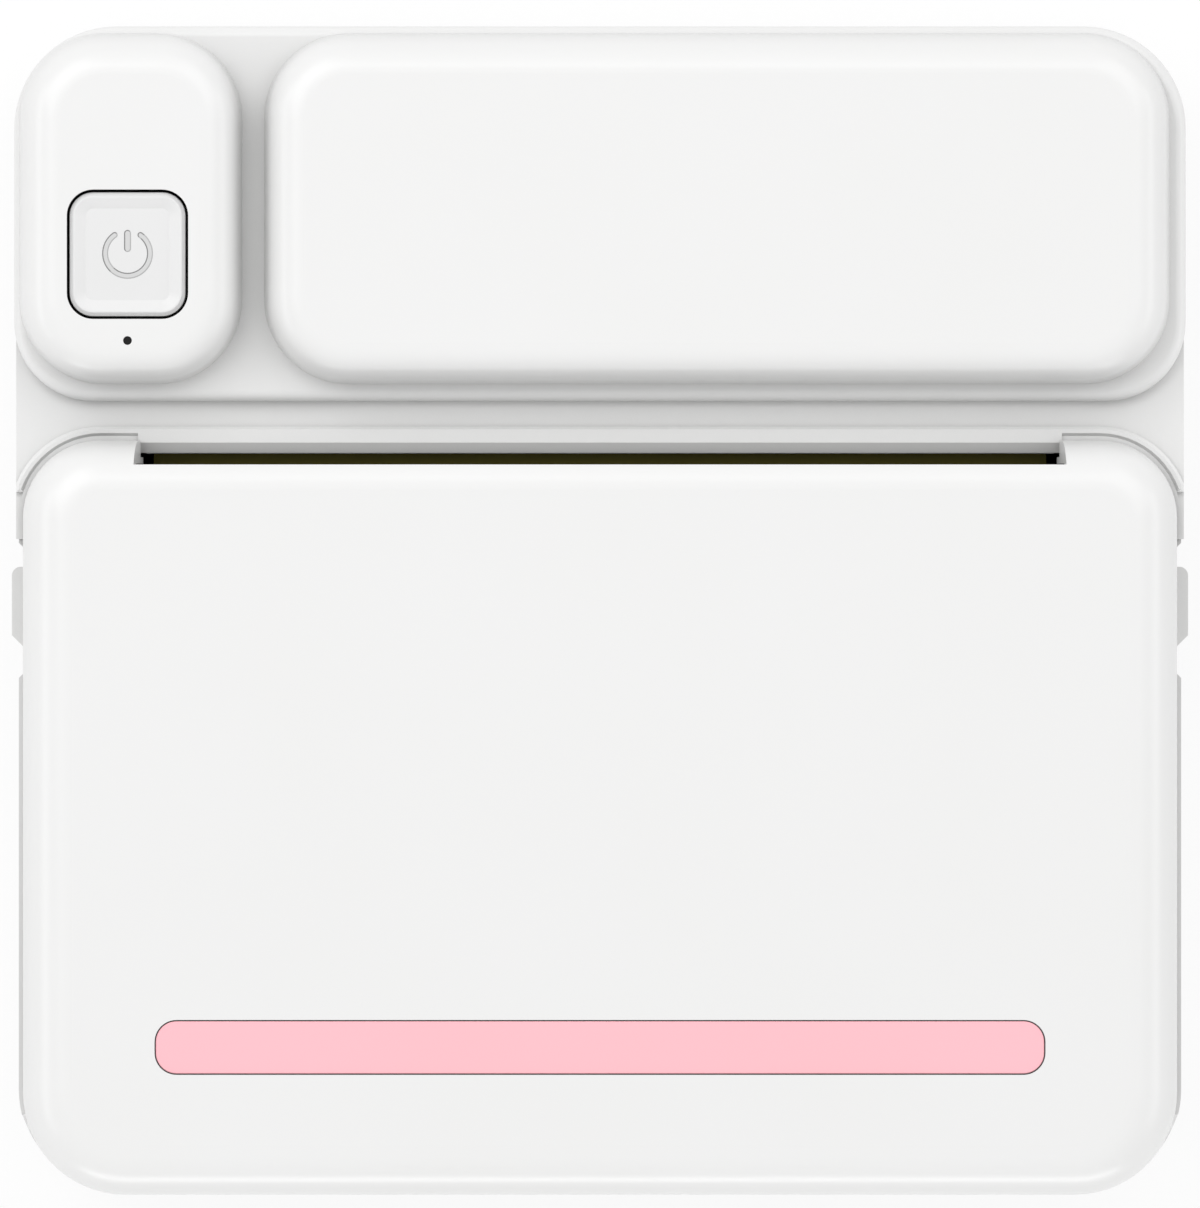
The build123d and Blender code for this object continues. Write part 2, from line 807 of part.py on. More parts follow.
# Mechanism frame: side plates with notches for the platen's bushes, curved paper guide, floor and
# rear wall that backs the head's spring; the left plate reaches back to carry the motor
with BuildPart() as mechanism_frame:
    for side in (-1, 1):
        with BuildSketch(Plane.YZ.offset(side * plate_inner)):
            slab((tower_back, frame_floor), (rear_wall_back, rear_wall_top))
            slab((tower_back, frame_floor), (tower_front, tower_top))
            if side < 0:
                slab((tower_back, frame_floor), (motor_y + motor_arm_reach, motor_arm_top))
            # Notch that the bush drops into, widened towards its mouth
            with BuildLine():
                Polyline(
                    (platen_y - bush_radius - running_gap, platen_z),
                    (platen_y + bush_radius + running_gap, platen_z),
                    (platen_y + bush_radius + running_gap, pocket_top),
                    (platen_y - bush_radius - notch_widening, pocket_top),
                    close=True,
                )
            make_face(mode=Mode.SUBTRACT)
            with Locations((platen_y, platen_z)):
                Circle(bush_radius + running_gap, mode=Mode.SUBTRACT)
            # Eye of the head's pivot
            with Locations((spreader_back - spreader_thick / 2, pivot_z)):
                Circle(pivot_radius + running_gap, mode=Mode.SUBTRACT)
            if side < 0:
                with Locations((motor_y, motor_z)):
                    Circle(motor_boss_radius + running_gap, mode=Mode.SUBTRACT)
                with Locations((idler_y, idler_z), (compound_y, compound_z)):
                    Circle(axle_radius, mode=Mode.SUBTRACT)
        extrude(amount=side * plate_thick)
    # Floor
    with BuildSketch(Plane.XY.offset(frame_floor)):
        with Locations((0, (tower_back + frame_floor_front) / 2)):
            Rectangle(2 * plate_inner + plate_thick, frame_floor_front - tower_back)
        with Locations(*frame_boss_places):
            Circle(screw_radius + seat_gap, mode=Mode.SUBTRACT)
    extrude(amount=frame_floor_thick)
    # Rear wall
    with BuildSketch(Plane.XY.offset(rear_wall_bottom)):
        with Locations((0, rear_wall_y + rear_wall_thick / 2)):
            Rectangle(2 * plate_inner + plate_thick, rear_wall_thick)
    extrude(amount=rear_wall_top - rear_wall_bottom)
    # Paper guide round the underside of the platen
    with BuildSketch(Plane.YZ):
        with BuildLine():
            CenterArc((platen_y, platen_z), guide_radius, guide_from, guide_to - guide_from)
            CenterArc(
                (platen_y, platen_z), guide_radius + guide_thick, guide_from, guide_to - guide_from
            )
            for angle in (guide_from, guide_to):
                ray = (cos(radians(angle)), sin(radians(angle)))
                Line(
                    (platen_y + guide_radius * ray[0], platen_z + guide_radius * ray[1]),
                    (
                        platen_y + (guide_radius + guide_thick) * ray[0],
                        platen_z + (guide_radius + guide_thick) * ray[1],
                    ),
                )
        make_face()
    extrude(amount=plate_inner + plate_thick / 2, both=True)
save("mechanism_frame", mechanism_frame.part)


# Gears: involute teeth, the gaps wider than the teeth by the backlash
def gear_face_plan(teeth, phase, plan_y, plan_z):
    """Outline of a toothed wheel in the sketch plane."""
    radius = pitch_radius(teeth)
    base = radius * cos(pressure_angle)
    root = radius - dedendum * gear_module
    tip = tip_radius(teeth)
    half_tooth = (pi * gear_module / 2 - backlash) / (2 * radius)
    roll = tan(pressure_angle) - pressure_angle
    points = []
    for tooth in range(teeth):
        middle = phase + 2 * pi * tooth / teeth
        flank = []
        for reach in (root, max(base, root), radius, tip):
            slope = acos(min(1.0, base / reach))
            half = half_tooth + roll - (tan(slope) - slope)
            if reach < base:
                half *= undercut
            flank.append((reach, half))
        for reach, half in flank:
            points.append((reach, middle - half))
        for reach, half in reversed(flank):
            points.append((reach, middle + half))
    outline = []
    for reach, angle in points:
        spot = (plan_y + reach * cos(angle), plan_z + reach * sin(angle))
        if not outline or hypot(spot[0] - outline[-1][0], spot[1] - outline[-1][1]) > 1e-4:
            outline.append(spot)
    with BuildSketch(mode=Mode.PRIVATE) as plan:
        with BuildLine():
            Polyline(*outline, close=True)
        make_face()
    return plan.sketch


# Platen: ground steel shaft, rubber roller bonded on it and a moulded gear pressed on its left end
with BuildPart() as platen_shaft:
    with BuildSketch(Plane.YZ.offset(gear_outer_x - shaft_overhang)):
        with Locations((platen_y, platen_z)):
            Circle(shaft_radius)
    extrude(amount=plate_outer - gear_outer_x + 2 * shaft_overhang)
    ends = platen_shaft.faces().filter_by(Axis.X)
    chamfer(ends.edges(), shaft_chamfer)
save("platen_shaft", platen_shaft.part)

with BuildPart() as platen_rubber:
    with BuildSketch(Plane.YZ):
        with Locations((platen_y, platen_z)):
            Circle(platen_radius)
            Circle(shaft_radius, mode=Mode.SUBTRACT)
    extrude(amount=platen_half_length, both=True)
save("platen_rubber", platen_rubber.part)

with BuildPart() as platen_gear:
    with BuildSketch(Plane.YZ.offset(gear_outer_x)):
        add(gear_face_plan(platen_teeth, platen_phase, platen_y, platen_z))
        with Locations((platen_y, platen_z)):
            Circle(shaft_radius, mode=Mode.SUBTRACT)
    extrude(amount=gear_face)
save("platen_gear", platen_gear.part)

# Bushes: acetal sleeves that turn the shaft in the cover's holder and drop into the frame's notches
bush_inner_x = platen_half_length + joint_gap
with BuildPart() as platen_bushes:
    for side in (-1, 1):
        with BuildSketch(Plane.YZ.offset(side * bush_inner_x)):
            with Locations((platen_y, platen_z)):
                Circle(bush_radius)
                Circle(shaft_radius + running_gap, mode=Mode.SUBTRACT)
        extrude(amount=side * (plate_outer - bush_inner_x))
save("platen_bushes", platen_bushes.part)

# Idler and compound gear on their axles
with BuildPart() as idler_gear:
    with BuildSketch(Plane.YZ.offset(gear_outer_x)):
        add(gear_face_plan(idler_teeth, idler_phase, idler_y, idler_z))
        with Locations((idler_y, idler_z)):
            Circle(axle_radius + running_gap, mode=Mode.SUBTRACT)
    extrude(amount=gear_face)
save("idler_gear", idler_gear.part)

with BuildPart() as compound_gear:
    with BuildSketch(Plane.YZ.offset(outer_gear_x)):
        add(gear_face_plan(compound_small_teeth, compound_phase, compound_y, compound_z))
    extrude(amount=gear_face + gear_layer_gap)
    with BuildSketch(Plane.YZ.offset(outer_gear_end)):
        add(gear_face_plan(compound_large_teeth, compound_phase, compound_y, compound_z))
    extrude(amount=outer_face)
    with BuildSketch(Plane.YZ):
        with Locations((compound_y, compound_z)):
            Circle(axle_radius + running_gap)
    extrude(amount=body_width, both=True, mode=Mode.SUBTRACT)
save("compound_gear", compound_gear.part)

with BuildPart() as motor_pinion:
    with BuildSketch(Plane.YZ.offset(outer_gear_end)):
        add(gear_face_plan(pinion_teeth, pinion_phase, motor_y, motor_z))
    extrude(amount=outer_face)
    with BuildSketch(Plane.YZ.offset(outer_gear_end)):
        with Locations((motor_y, motor_z)):
            Circle(axle_radius)
    extrude(amount=-outer_gear_end - plate_inner + motor_shaft_depth)
save("motor_pinion", motor_pinion.part)

with BuildPart() as gear_axles:
    for y, z, end_x in (
        (idler_y, idler_z, gear_outer_x - axle_overhang),
        (compound_y, compound_z, outer_gear_end - axle_overhang),
    ):
        with BuildSketch(Plane.YZ.offset(-plate_inner)):
            with Locations((y, z)):
                Circle(axle_radius)
        extrude(amount=end_x + plate_inner)
save("gear_axles", gear_axles.part)

# Motor: drawn steel can with a boss that centres it in the left plate
with BuildPart() as motor_body:
    with BuildSketch(Plane.YZ.offset(-plate_inner)):
        with Locations((motor_y, motor_z)):
            Circle(motor_radius)
    extrude(amount=motor_length)
    fillet(motor_body.faces().sort_by(Axis.X)[-1].edges(), motor_edge)
    with BuildSketch(Plane.YZ.offset(-plate_inner)):
        with Locations((motor_y, motor_z)):
            Circle(motor_boss_radius)
    extrude(amount=-plate_thick)
    with BuildSketch(Plane.YZ.offset(-plate_outer)):
        with Locations((motor_y, motor_z)):
            Circle(axle_radius + running_gap)
    extrude(amount=plate_thick + motor_shaft_depth + joint_gap, mode=Mode.SUBTRACT)
save("motor_body", motor_body.part)

# Print head: glazed ceramic strip on an aluminium spreader that tips on two pivot pins
with BuildPart() as print_head:
    with BuildSketch(Plane.YZ):
        with BuildLine():
            Polyline(
                (nip_y, head_bottom),
                (nip_y + head_thick, head_bottom),
                (nip_y + head_thick, head_top),
                (nip_y, head_top),
                close=True,
            )
        make_face()
    extrude(amount=head_half_width, both=True)
save("print_head", print_head.part)

with BuildPart() as head_spreader:
    with BuildSketch(Plane.YZ):
        with Locations(((spreader_front + spreader_back) / 2, (pivot_z + spreader_top) / 2)):
            Rectangle(spreader_thick, spreader_top - pivot_z)
        with Locations((spreader_back - spreader_thick / 2, pivot_z)):
            Circle(spreader_thick / 2)
    extrude(amount=spreader_half_width, both=True)
    for side in (-1, 1):
        with BuildSketch(Plane.YZ.offset(side * (spreader_half_width - pivot_root))):
            with Locations((spreader_back - spreader_thick / 2, pivot_z)):
                Circle(pivot_radius)
        extrude(amount=side * (plate_outer - spreader_half_width + pivot_root))
save("head_spreader", head_spreader.part)

# Leaf spring between the rear wall and the spreader
with BuildPart() as head_spring:
    with BuildSketch(Plane.YZ):
        with BuildLine():
            for bow, foot in ((0, 0), (spring_thick, spring_thick)):
                ThreePointArc(
                    (rear_wall_y, spring_z - spring_rise + foot),
                    (spreader_back + seat_gap + bow, spring_z),
                    (rear_wall_y, spring_z + spring_rise - foot),
                )
            for way in (-1, 1):
                Line(
                    (rear_wall_y, spring_z + way * spring_rise),
                    (rear_wall_y, spring_z + way * (spring_rise - spring_thick)),
                )
        make_face()
    extrude(amount=spring_half_width, both=True)
save("head_spring", head_spring.part)

# Circuit board with a step past the front posts of the case
with BuildPart() as main_board:
    with BuildSketch(Plane.XY.offset(board_bottom)):
        with BuildLine():
            Polyline(
                (board_left, board_front),
                (board_right, board_front),
                (board_right, board_back),
                (-board_right, board_back),
                (-board_right, board_step),
                (board_left, board_step),
                close=True,
            )
        make_face()
        with Locations(*board_boss_places):
            Circle(screw_radius + seat_gap, mode=Mode.SUBTRACT)
    extrude(amount=board_thick)
save("main_board", main_board.part)

# Chips on the board: control chip, motor driver and the coil of the voltage converter
with BuildPart() as board_chips:
    with BuildSketch(Plane.XY.offset(board_top)):
        with Locations((chip_x, chip_y)):
            Rectangle(chip_size, chip_size)
        with Locations((driver_x, chip_y)):
            Rectangle(driver_size, driver_size)
    extrude(amount=chip_height)
    with BuildSketch(Plane.XY.offset(board_top)):
        with Locations((coil_x, chip_y)):
            RectangleRounded(coil_size, coil_size, coil_size / 4)
    extrude(amount=coil_height)
save("board_chips", board_chips.part)

# Plugs: the slotted one of the head's ribbon cable above the board, the battery's below it
with BuildPart() as board_plugs:
    with BuildSketch(Plane.XY.offset(board_top)):
        with Locations((head_plug_x, board_front + head_plug_length / 2)):
            Rectangle(head_plug_width, head_plug_length)
    extrude(amount=head_plug_height)
    with BuildSketch(Plane.XZ.offset(-board_front)):
        with Locations((head_plug_x, board_top + head_plug_height / 2)):
            Rectangle(head_plug_width - 2 * head_plug_height, head_plug_slit)
    extrude(amount=-head_plug_length / 2, mode=Mode.SUBTRACT)
    with BuildSketch(Plane.XY.offset(board_bottom)):
        with Locations((lead_x, lead_y)):
            Rectangle(battery_plug_length, battery_plug_width)
    extrude(amount=-battery_plug_height)
save("board_plugs", board_plugs.part)

# Leads: two round wires from the battery's end up to the plug
with BuildPart() as battery_leads:
    for side in (-1, 1):
        wire_y = lead_y + side * lead_pitch / 2
        wire_z = floor_top + seat_gap + battery_height / 2
        with BuildLine():
            FilletPolyline(
                (battery_width / 2, wire_y, wire_z),
                (lead_x, wire_y, wire_z),
                (lead_x, wire_y, board_bottom - battery_plug_height),
                radius=lead_bend,
            )
        with BuildSketch(Plane.YZ.offset(battery_width / 2)):
            with Locations((wire_y, wire_z)):
                Circle(lead_radius)
        sweep()
save("battery_leads", battery_leads.part)

# Radio module: printed antenna board under a drawn shield
with BuildPart() as radio_module:
    with BuildSketch(Plane.XY.offset(board_top)):
        with Locations((radio_x, radio_y)):
            Rectangle(radio_width, radio_length)
    extrude(amount=radio_board)
    with BuildSketch(Plane.XY.offset(board_top + radio_board)):
        with Locations((radio_x - antenna_width / 2, radio_y)):
            RectangleRounded(
                radio_width - antenna_width - 2 * seam_gap, radio_length - 2 * seam_gap, shield_corner
            )
    extrude(amount=radio_height - radio_board)
save("radio_module", radio_module.part)

# Charging socket: folded steel shell with a flat contact tongue, mouth in the back wall
socket_mouth = body_length / 2 - joint_gap
socket_z = board_top + socket_height / 2
with BuildPart() as charging_socket:
    with BuildSketch(Plane.XZ.offset(-socket_mouth)):
        with Locations((socket_x, socket_z)):
            SlotOverall(socket_width, socket_height)
    extrude(amount=socket_length)
    with BuildSketch(Plane.XZ.offset(-socket_mouth)):
        with Locations((socket_x, socket_z)):
            SlotOverall(socket_width - 2 * socket_wall, socket_height - 2 * socket_wall)
    extrude(amount=socket_length - tongue_root, mode=Mode.SUBTRACT)
    with BuildSketch(Plane.XZ.offset(-socket_mouth + tongue_sink)):
        with Locations((socket_x, socket_z)):
            Rectangle(tongue_width, tongue_thick)
    extrude(amount=socket_length - tongue_root)
save("charging_socket", charging_socket.part)

# Push switch under the button, with its plunger
with BuildPart() as power_switch:
    with BuildSketch(Plane.XY.offset(board_top)):
        with Locations((button_x, button_y)):
            RectangleRounded(switch_size, switch_size, switch_corner)
    extrude(amount=switch_height)
    with BuildSketch(Plane.XY.offset(switch_top)):
        with Locations((button_x, button_y)):
            Circle(plunger_radius + running_gap)
    extrude(amount=-(plunger_depth + button_travel + joint_gap), mode=Mode.SUBTRACT)
save("power_switch", power_switch.part)

with BuildPart() as switch_plunger:
    with BuildSketch(Plane.XY.offset(switch_top - plunger_depth)):
        with Locations((button_x, button_y)):
            Circle(plunger_radius)
    extrude(amount=plunger_depth + plunger_rise)
save("switch_plunger", switch_plunger.part)

# Power button: dished cap with a bevelled rim, flange under the roof and a stem to the switch
cap_width = button_width - 2 * seam_gap
cap_length = button_length - 2 * seam_gap
cap_corner = button_corner - seam_gap
flange_top = lid_ceiling - seat_gap - seal_thick
stem_bottom = switch_top + plunger_rise
with BuildPart() as power_button:
    with BuildSketch(Plane.XY.offset(flange_top)):
        with Locations((button_x, button_y)):
            RectangleRounded(cap_width, cap_length, cap_corner)
    extrude(amount=button_top - flange_top)
    chamfer(power_button.faces().sort_by(Axis.Z)[-1].edges(), button_bevel)
    with BuildSketch(Plane.XY.offset(button_top)):
        with Locations((button_x, button_y)):
            RectangleRounded(
                cap_width - 2 * button_bevel - 2 * dish_inset,
                cap_length - 2 * button_bevel - 2 * dish_inset,
                cap_corner - button_bevel - dish_inset,
            )
    extrude(amount=-button_dish, taper=dish_slope, mode=Mode.SUBTRACT)
    with BuildSketch(Plane.XY.offset(flange_top)):
        with Locations((button_x, button_y)):
            RectangleRounded(
                cap_width + 2 * button_flange, cap_length + 2 * button_flange, button_corner
            )
    extrude(amount=-button_flange)
    with BuildSketch(Plane.XY.offset(flange_top - button_flange)):
        with Locations((button_x, button_y)):
            Rectangle(stem_width, stem_rib)
            Rectangle(stem_rib, stem_width)
    extrude(amount=stem_bottom - flange_top + button_flange)
save("power_button", power_button.part)

# Seal: soft ring on the flange that closes the gap round the button
with BuildPart() as button_seal:
    with BuildSketch(Plane.XY.offset(flange_top)):
        with Locations((button_x, button_y)):
            RectangleRounded(
                cap_width + 2 * button_flange, cap_length + 2 * button_flange, button_corner
            )
            RectangleRounded(
                cap_width + 2 * running_gap,
                cap_length + 2 * running_gap,
                cap_corner + running_gap,
                mode=Mode.SUBTRACT,
            )
    extrude(amount=seal_thick)
save("button_seal", button_seal.part)

# Indicator: lamp on the board and the light pipe that leads to the pinhole
lamp_top = board_top + led_height
with BuildPart() as indicator_lamp:
    with BuildSketch(Plane.XY.offset(board_top)):
        with Locations((button_x, indicator_y)):
            Rectangle(led_width, led_length)
    extrude(amount=led_height)
save("indicator_lamp", indicator_lamp.part)

with BuildPart() as light_pipe:
    with BuildSketch(Plane.XY.offset(lamp_top + seat_gap)):
        with Locations((button_x, indicator_y)):
            Circle(light_pipe_radius)
    extrude(amount=lid_ceiling - lamp_top - seat_gap)
    with BuildSketch(Plane.XY.offset(lid_ceiling)):
        with Locations((button_x, indicator_y)):
            Circle(indicator_hole - running_gap)
    extrude(amount=roof_thick - light_pipe_sink)
save("light_pipe", light_pipe.part)

# Battery: flat lithium pack on the floor in front of the bin
with BuildPart() as battery_pack:
    with BuildSketch(Plane.XY.offset(floor_top + seat_gap)):
        with Locations((0, battery_y)):
            RectangleRounded(battery_width, battery_length, battery_edge)
    extrude(amount=battery_height)
    long_edges = battery_pack.edges().filter_by(Axis.Y)
    fillet(long_edges, battery_edge)
save("battery_pack", battery_pack.part)

# Cover: moulded shell with rolled hinge barrel, pull ears, notch of the paper slot, recess of the
# accent strip and bosses for the platen's holder
holder_top = lid_ceiling - holder_boss_height
holder_screw_places = [(-holder_screw_x, holder_screw_y), (holder_screw_x, holder_screw_y)]

with BuildPart() as lid_shell:
    with BuildSketch(Plane.XY.offset(lid_bottom)):
        add(lid_plan())
    extrude(amount=body_height - lid_bottom)
    fillet(lid_shell.faces().sort_by(Axis.Z)[-1].edges(), lid_edge)
    with BuildSketch(Plane.XY.offset(lid_bottom)):
        add(lid_plan(-lid_wall))
    extrude(amount=lid_ceiling - lid_bottom, mode=Mode.SUBTRACT)
    # Barrel along the back, cut to the cover's outline
    with BuildSketch(Plane.YZ):
        with Locations((hinge_y, hinge_z)):
            Circle(barrel_radius)
    extrude(amount=lid_width / 2, both=True)
    with BuildSketch(Plane.XY.offset(hinge_z - 2 * barrel_radius)):
        add(lid_plan())
    extrude(amount=body_height, mode=Mode.INTERSECT)
    for side in (-1, 1):
        # Room for the base's lug
        with BuildSketch(Plane.XY.offset(hinge_z - 2 * barrel_radius)):
            with Locations((side * lug_centre, hinge_y)):
                Rectangle(lug_width + 2 * joint_gap, 4 * barrel_radius)
        extrude(amount=2 * barrel_radius + seat_radius + seam_gap, mode=Mode.SUBTRACT)
        # Bore of the hinge pin
        with BuildSketch(Plane.YZ.offset(side * lug_centre)):
            with Locations((hinge_y, hinge_z)):
                Circle(hinge_pin_radius + running_gap)
        extrude(amount=hinge_pin_length / 2 + joint_gap, both=True, mode=Mode.SUBTRACT)
        # Pull ear
        root = side * (lid_width / 2 - lid_wall)
        tip = side * (lid_width / 2 + ear_reach)
        with BuildSketch(Plane.XY.offset(lid_bottom)):
            with BuildLine():
                Polyline(
                    (root, ear_back),
                    (tip - side * ear_chamfer, ear_back),
                    (tip, ear_back + ear_chamfer),
                    (tip, ear_front),
                    (root, ear_front),
                    close=True,
                )
            ear = make_face()
            fillet(ear.vertices().sort_by_distance((tip, ear_front))[0], ear_round)
        extrude(amount=ear_height)
    # Wall down from the slot's lip, in front of the platen
    with BuildSketch(Plane.YZ):
        slab((slot_lip - lip_wall, lip_wall_bottom), (slot_lip, lid_ceiling + seam_gap))
    extrude(amount=slot_half_width + seam_gap, both=True)
    # Notch of the paper slot through roof and front wall, its ends drawn in downwards
    with BuildSketch(Plane.XZ.offset(-lid_front - joint_gap)):
        with BuildLine():
            Polyline(
                (-slot_half_width, body_height),
                (slot_half_width, body_height),
                (slot_half_width - slot_end_slope, pocket_top),
                (slot_half_width - slot_end_slope, parting_height),
                (-slot_half_width + slot_end_slope, parting_height),
                (-slot_half_width + slot_end_slope, pocket_top),
                close=True,
            )
        make_face()
    extrude(amount=lid_front + joint_gap - slot_lip, mode=Mode.SUBTRACT)
    # Room for the tongue's ends
    with BuildSketch(Plane.XY):
        slab((-slot_half_width, tongue_edge - joint_gap), (slot_half_width, bay_front))
    extrude(amount=rim_top + joint_gap, mode=Mode.SUBTRACT)
    # Rebate over the ledge of the upper case
    with BuildSketch(Plane.XY.offset(lid_bottom)):
        add(lid_plan(joint_gap))
        add(lid_plan(-rebate_depth), mode=Mode.SUBTRACT)
        with Locations((0, horn_end - joint_gap - body_length)):
            Rectangle(2 * body_width, 2 * body_length, mode=Mode.SUBTRACT)
    extrude(amount=rebate_top - lid_bottom, mode=Mode.SUBTRACT)
    # Ribs that stiffen the roof over the roll
    with BuildSketch(Plane.XY.offset(lid_ceiling)):
        with GridLocations(rib_spacing, 1, rib_count, 1):
            with Locations((0, (holder_back + hinge_y) / 2)):
                Rectangle(rib_thick, holder_back - hinge_y - 2 * barrel_radius)
    extrude(amount=-rib_height)
    # Room for the mechanism and the gear train in the front wall
    with BuildSketch(Plane.XY):
        slab(
            (-pocket_half_width, lid_front - 2 * lid_wall), (pocket_half_width, bay_front)
        )
    extrude(amount=pocket_top, mode=Mode.SUBTRACT)
    with BuildSketch(Plane.XY):
        slab((outer_gear_end - joint_gap, lid_front - 2 * lid_wall), (-plate_inner, bay_front))
    extrude(amount=idler_z + tip_radius(idler_teeth) + joint_gap, mode=Mode.SUBTRACT)
    with BuildSketch(Plane.XY):
        slab((gear_outer_x - joint_gap, lid_front - 2 * lid_wall), (-plate_outer, bay_front))
    extrude(amount=platen_z + tip_radius(platen_teeth) + joint_gap, mode=Mode.SUBTRACT)
    # Recess of the accent strip
    with BuildSketch(Plane.XY.offset(body_height)):
        with Locations((0, strip_y)):
            RectangleRounded(strip_length, strip_width, strip_corner)
    extrude(amount=-strip_depth, mode=Mode.SUBTRACT)
    # Bosses of the platen's holder
    with BuildSketch(Plane.XY.offset(holder_top)):
        with Locations(*holder_screw_places):
            Circle(board_boss_radius)
    extrude(amount=holder_boss_height)
    with BuildSketch(Plane.XY.offset(holder_top)):
        with Locations(*holder_screw_places):
            Circle(screw_radius)
    extrude(amount=small_screw_length - holder_thick, mode=Mode.SUBTRACT)
save("lid_shell", lid_shell.part)

with BuildPart() as accent_strip:
    with BuildSketch(Plane.XY.offset(body_height - strip_depth)):
        with Locations((0, strip_y)):
            RectangleRounded(
                strip_length - 2 * strip_gap, strip_width - 2 * strip_gap, strip_corner - strip_gap
            )
    extrude(amount=strip_depth - strip_sink)
    chamfer(accent_strip.faces().sort_by(Axis.Z)[-1].edges(), strip_sink)
save("accent_strip", accent_strip.part)

# Holder of the platen: plate under the cover with an arm at each end
with BuildPart() as platen_holder:
    with BuildSketch(Plane.XY.offset(holder_top)):
        slab((-holder_arm_outer, holder_back), (holder_arm_outer, holder_front))
        with Locations(*holder_screw_places):
            Circle(screw_radius + seat_gap, mode=Mode.SUBTRACT)
    extrude(amount=-holder_thick)
    for side in (-1, 1):
        with BuildSketch(Plane.YZ.offset(side * holder_arm_outer)):
            with BuildLine():
                Polyline(
                    (holder_back, holder_top - holder_thick),
                    (platen_y - holder_eye, platen_z - holder_eye / 2),
                    (platen_y, platen_z - holder_eye / 2),
                    (platen_y + holder_eye / 2, holder_top),
                    (holder_back, holder_top),
                    close=True,
                )
            make_face()
            with Locations((platen_y, platen_z)):
                Circle(holder_eye)
                Circle(bush_radius, mode=Mode.SUBTRACT)
        extrude(amount=-side * holder_arm_thick)
save("platen_holder", platen_holder.part)

# Hinge pins
with BuildPart() as hinge_pins:
    for side in (-1, 1):
        with BuildSketch(Plane.YZ.offset(side * lug_centre)):
            with Locations((hinge_y, hinge_z)):
                Circle(hinge_pin_radius)
        extrude(amount=hinge_pin_length / 2, both=True)
save("hinge_pins", hinge_pins.part)


# Screws: pan head, its seat at the given height, the shank pointing up or down from there
def screws(places, seat, length, upward):
    """Like screws at several places."""
    way = 1 if upward else -1
    with BuildPart() as fasteners:
        with BuildSketch(Plane.XY.offset(seat)):
            with Locations(*places):
                Circle(screw_head_radius)
        extrude(amount=-way * screw_head_height)
        rims = fasteners.faces().filter_by(Plane.XY).group_by(Axis.Z)[0 if upward else -1]
        chamfer(rims.edges(), screw_head_height / 3)
        with BuildSketch(Plane.XY.offset(seat)):
            with Locations(*places):
                Circle(screw_radius)
        extrude(amount=way * length)
    return fasteners.part


save("case_screws", screws(boss_places, screw_seat, case_screw_length, True))
save(
    "frame_screws",
    screws(frame_boss_places, frame_floor + frame_floor_thick, small_screw_length, False),
)
save("board_screws", screws(board_boss_places, board_bottom, small_screw_length, True))
save(
    "holder_screws",
    screws(holder_screw_places, holder_top - holder_thick, small_screw_length, True),
)

# Rubber feet, bonded in their pockets
with BuildPart() as rubber_feet:
    with BuildSketch(Plane.XY):
        with Locations(*foot_places):
            Circle(foot_radius)
    extrude(amount=foot_thick)
    chamfer(rubber_feet.faces().filter_by(Plane.XY).group_by(Axis.Z)[0].edges(), foot_proud / 2)
save("rubber_feet", rubber_feet.part)
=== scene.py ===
import math

import bmesh
import bpy
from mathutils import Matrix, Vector


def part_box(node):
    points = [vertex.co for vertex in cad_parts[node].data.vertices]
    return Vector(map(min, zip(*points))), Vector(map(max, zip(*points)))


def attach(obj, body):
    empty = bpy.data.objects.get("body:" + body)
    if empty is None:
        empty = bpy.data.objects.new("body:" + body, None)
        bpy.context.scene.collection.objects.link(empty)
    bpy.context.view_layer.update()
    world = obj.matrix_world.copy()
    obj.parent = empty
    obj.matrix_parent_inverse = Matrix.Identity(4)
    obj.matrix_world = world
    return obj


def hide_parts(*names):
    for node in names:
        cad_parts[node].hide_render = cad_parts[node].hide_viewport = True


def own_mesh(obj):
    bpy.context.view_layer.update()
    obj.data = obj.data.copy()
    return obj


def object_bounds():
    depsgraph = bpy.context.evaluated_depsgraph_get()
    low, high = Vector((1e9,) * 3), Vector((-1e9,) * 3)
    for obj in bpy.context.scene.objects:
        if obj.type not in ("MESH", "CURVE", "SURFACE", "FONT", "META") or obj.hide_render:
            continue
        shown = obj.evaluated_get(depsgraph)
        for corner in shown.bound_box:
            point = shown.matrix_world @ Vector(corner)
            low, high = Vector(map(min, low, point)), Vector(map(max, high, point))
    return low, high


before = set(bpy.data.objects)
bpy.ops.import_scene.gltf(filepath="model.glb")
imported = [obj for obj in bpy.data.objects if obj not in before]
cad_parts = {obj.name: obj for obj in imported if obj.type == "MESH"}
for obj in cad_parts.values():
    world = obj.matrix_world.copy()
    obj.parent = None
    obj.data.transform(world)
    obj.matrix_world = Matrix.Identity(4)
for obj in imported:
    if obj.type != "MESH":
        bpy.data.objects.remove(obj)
cad_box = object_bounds()

# Base tray: the lower half of the case, an injection moulding in white ABS.
# Its mould is polished outside, so the surface is smooth, with a faint orange peel. Its corners
# and recesses get painted shade: ambient occlusion mixes a greyer tone into them.
MM = 0.001


def linear(hex_colour):
    """An sRGB colour written as RRGGBB, as the linear colour that a shader takes."""
    channels = []
    for start in (0, 2, 4):
        level = int(hex_colour[start : start + 2], 16) / 255
        channels.append(level / 12.92 if level <= 0.04045 else ((level + 0.055) / 1.055) ** 2.4)
    return (*channels, 1.0)


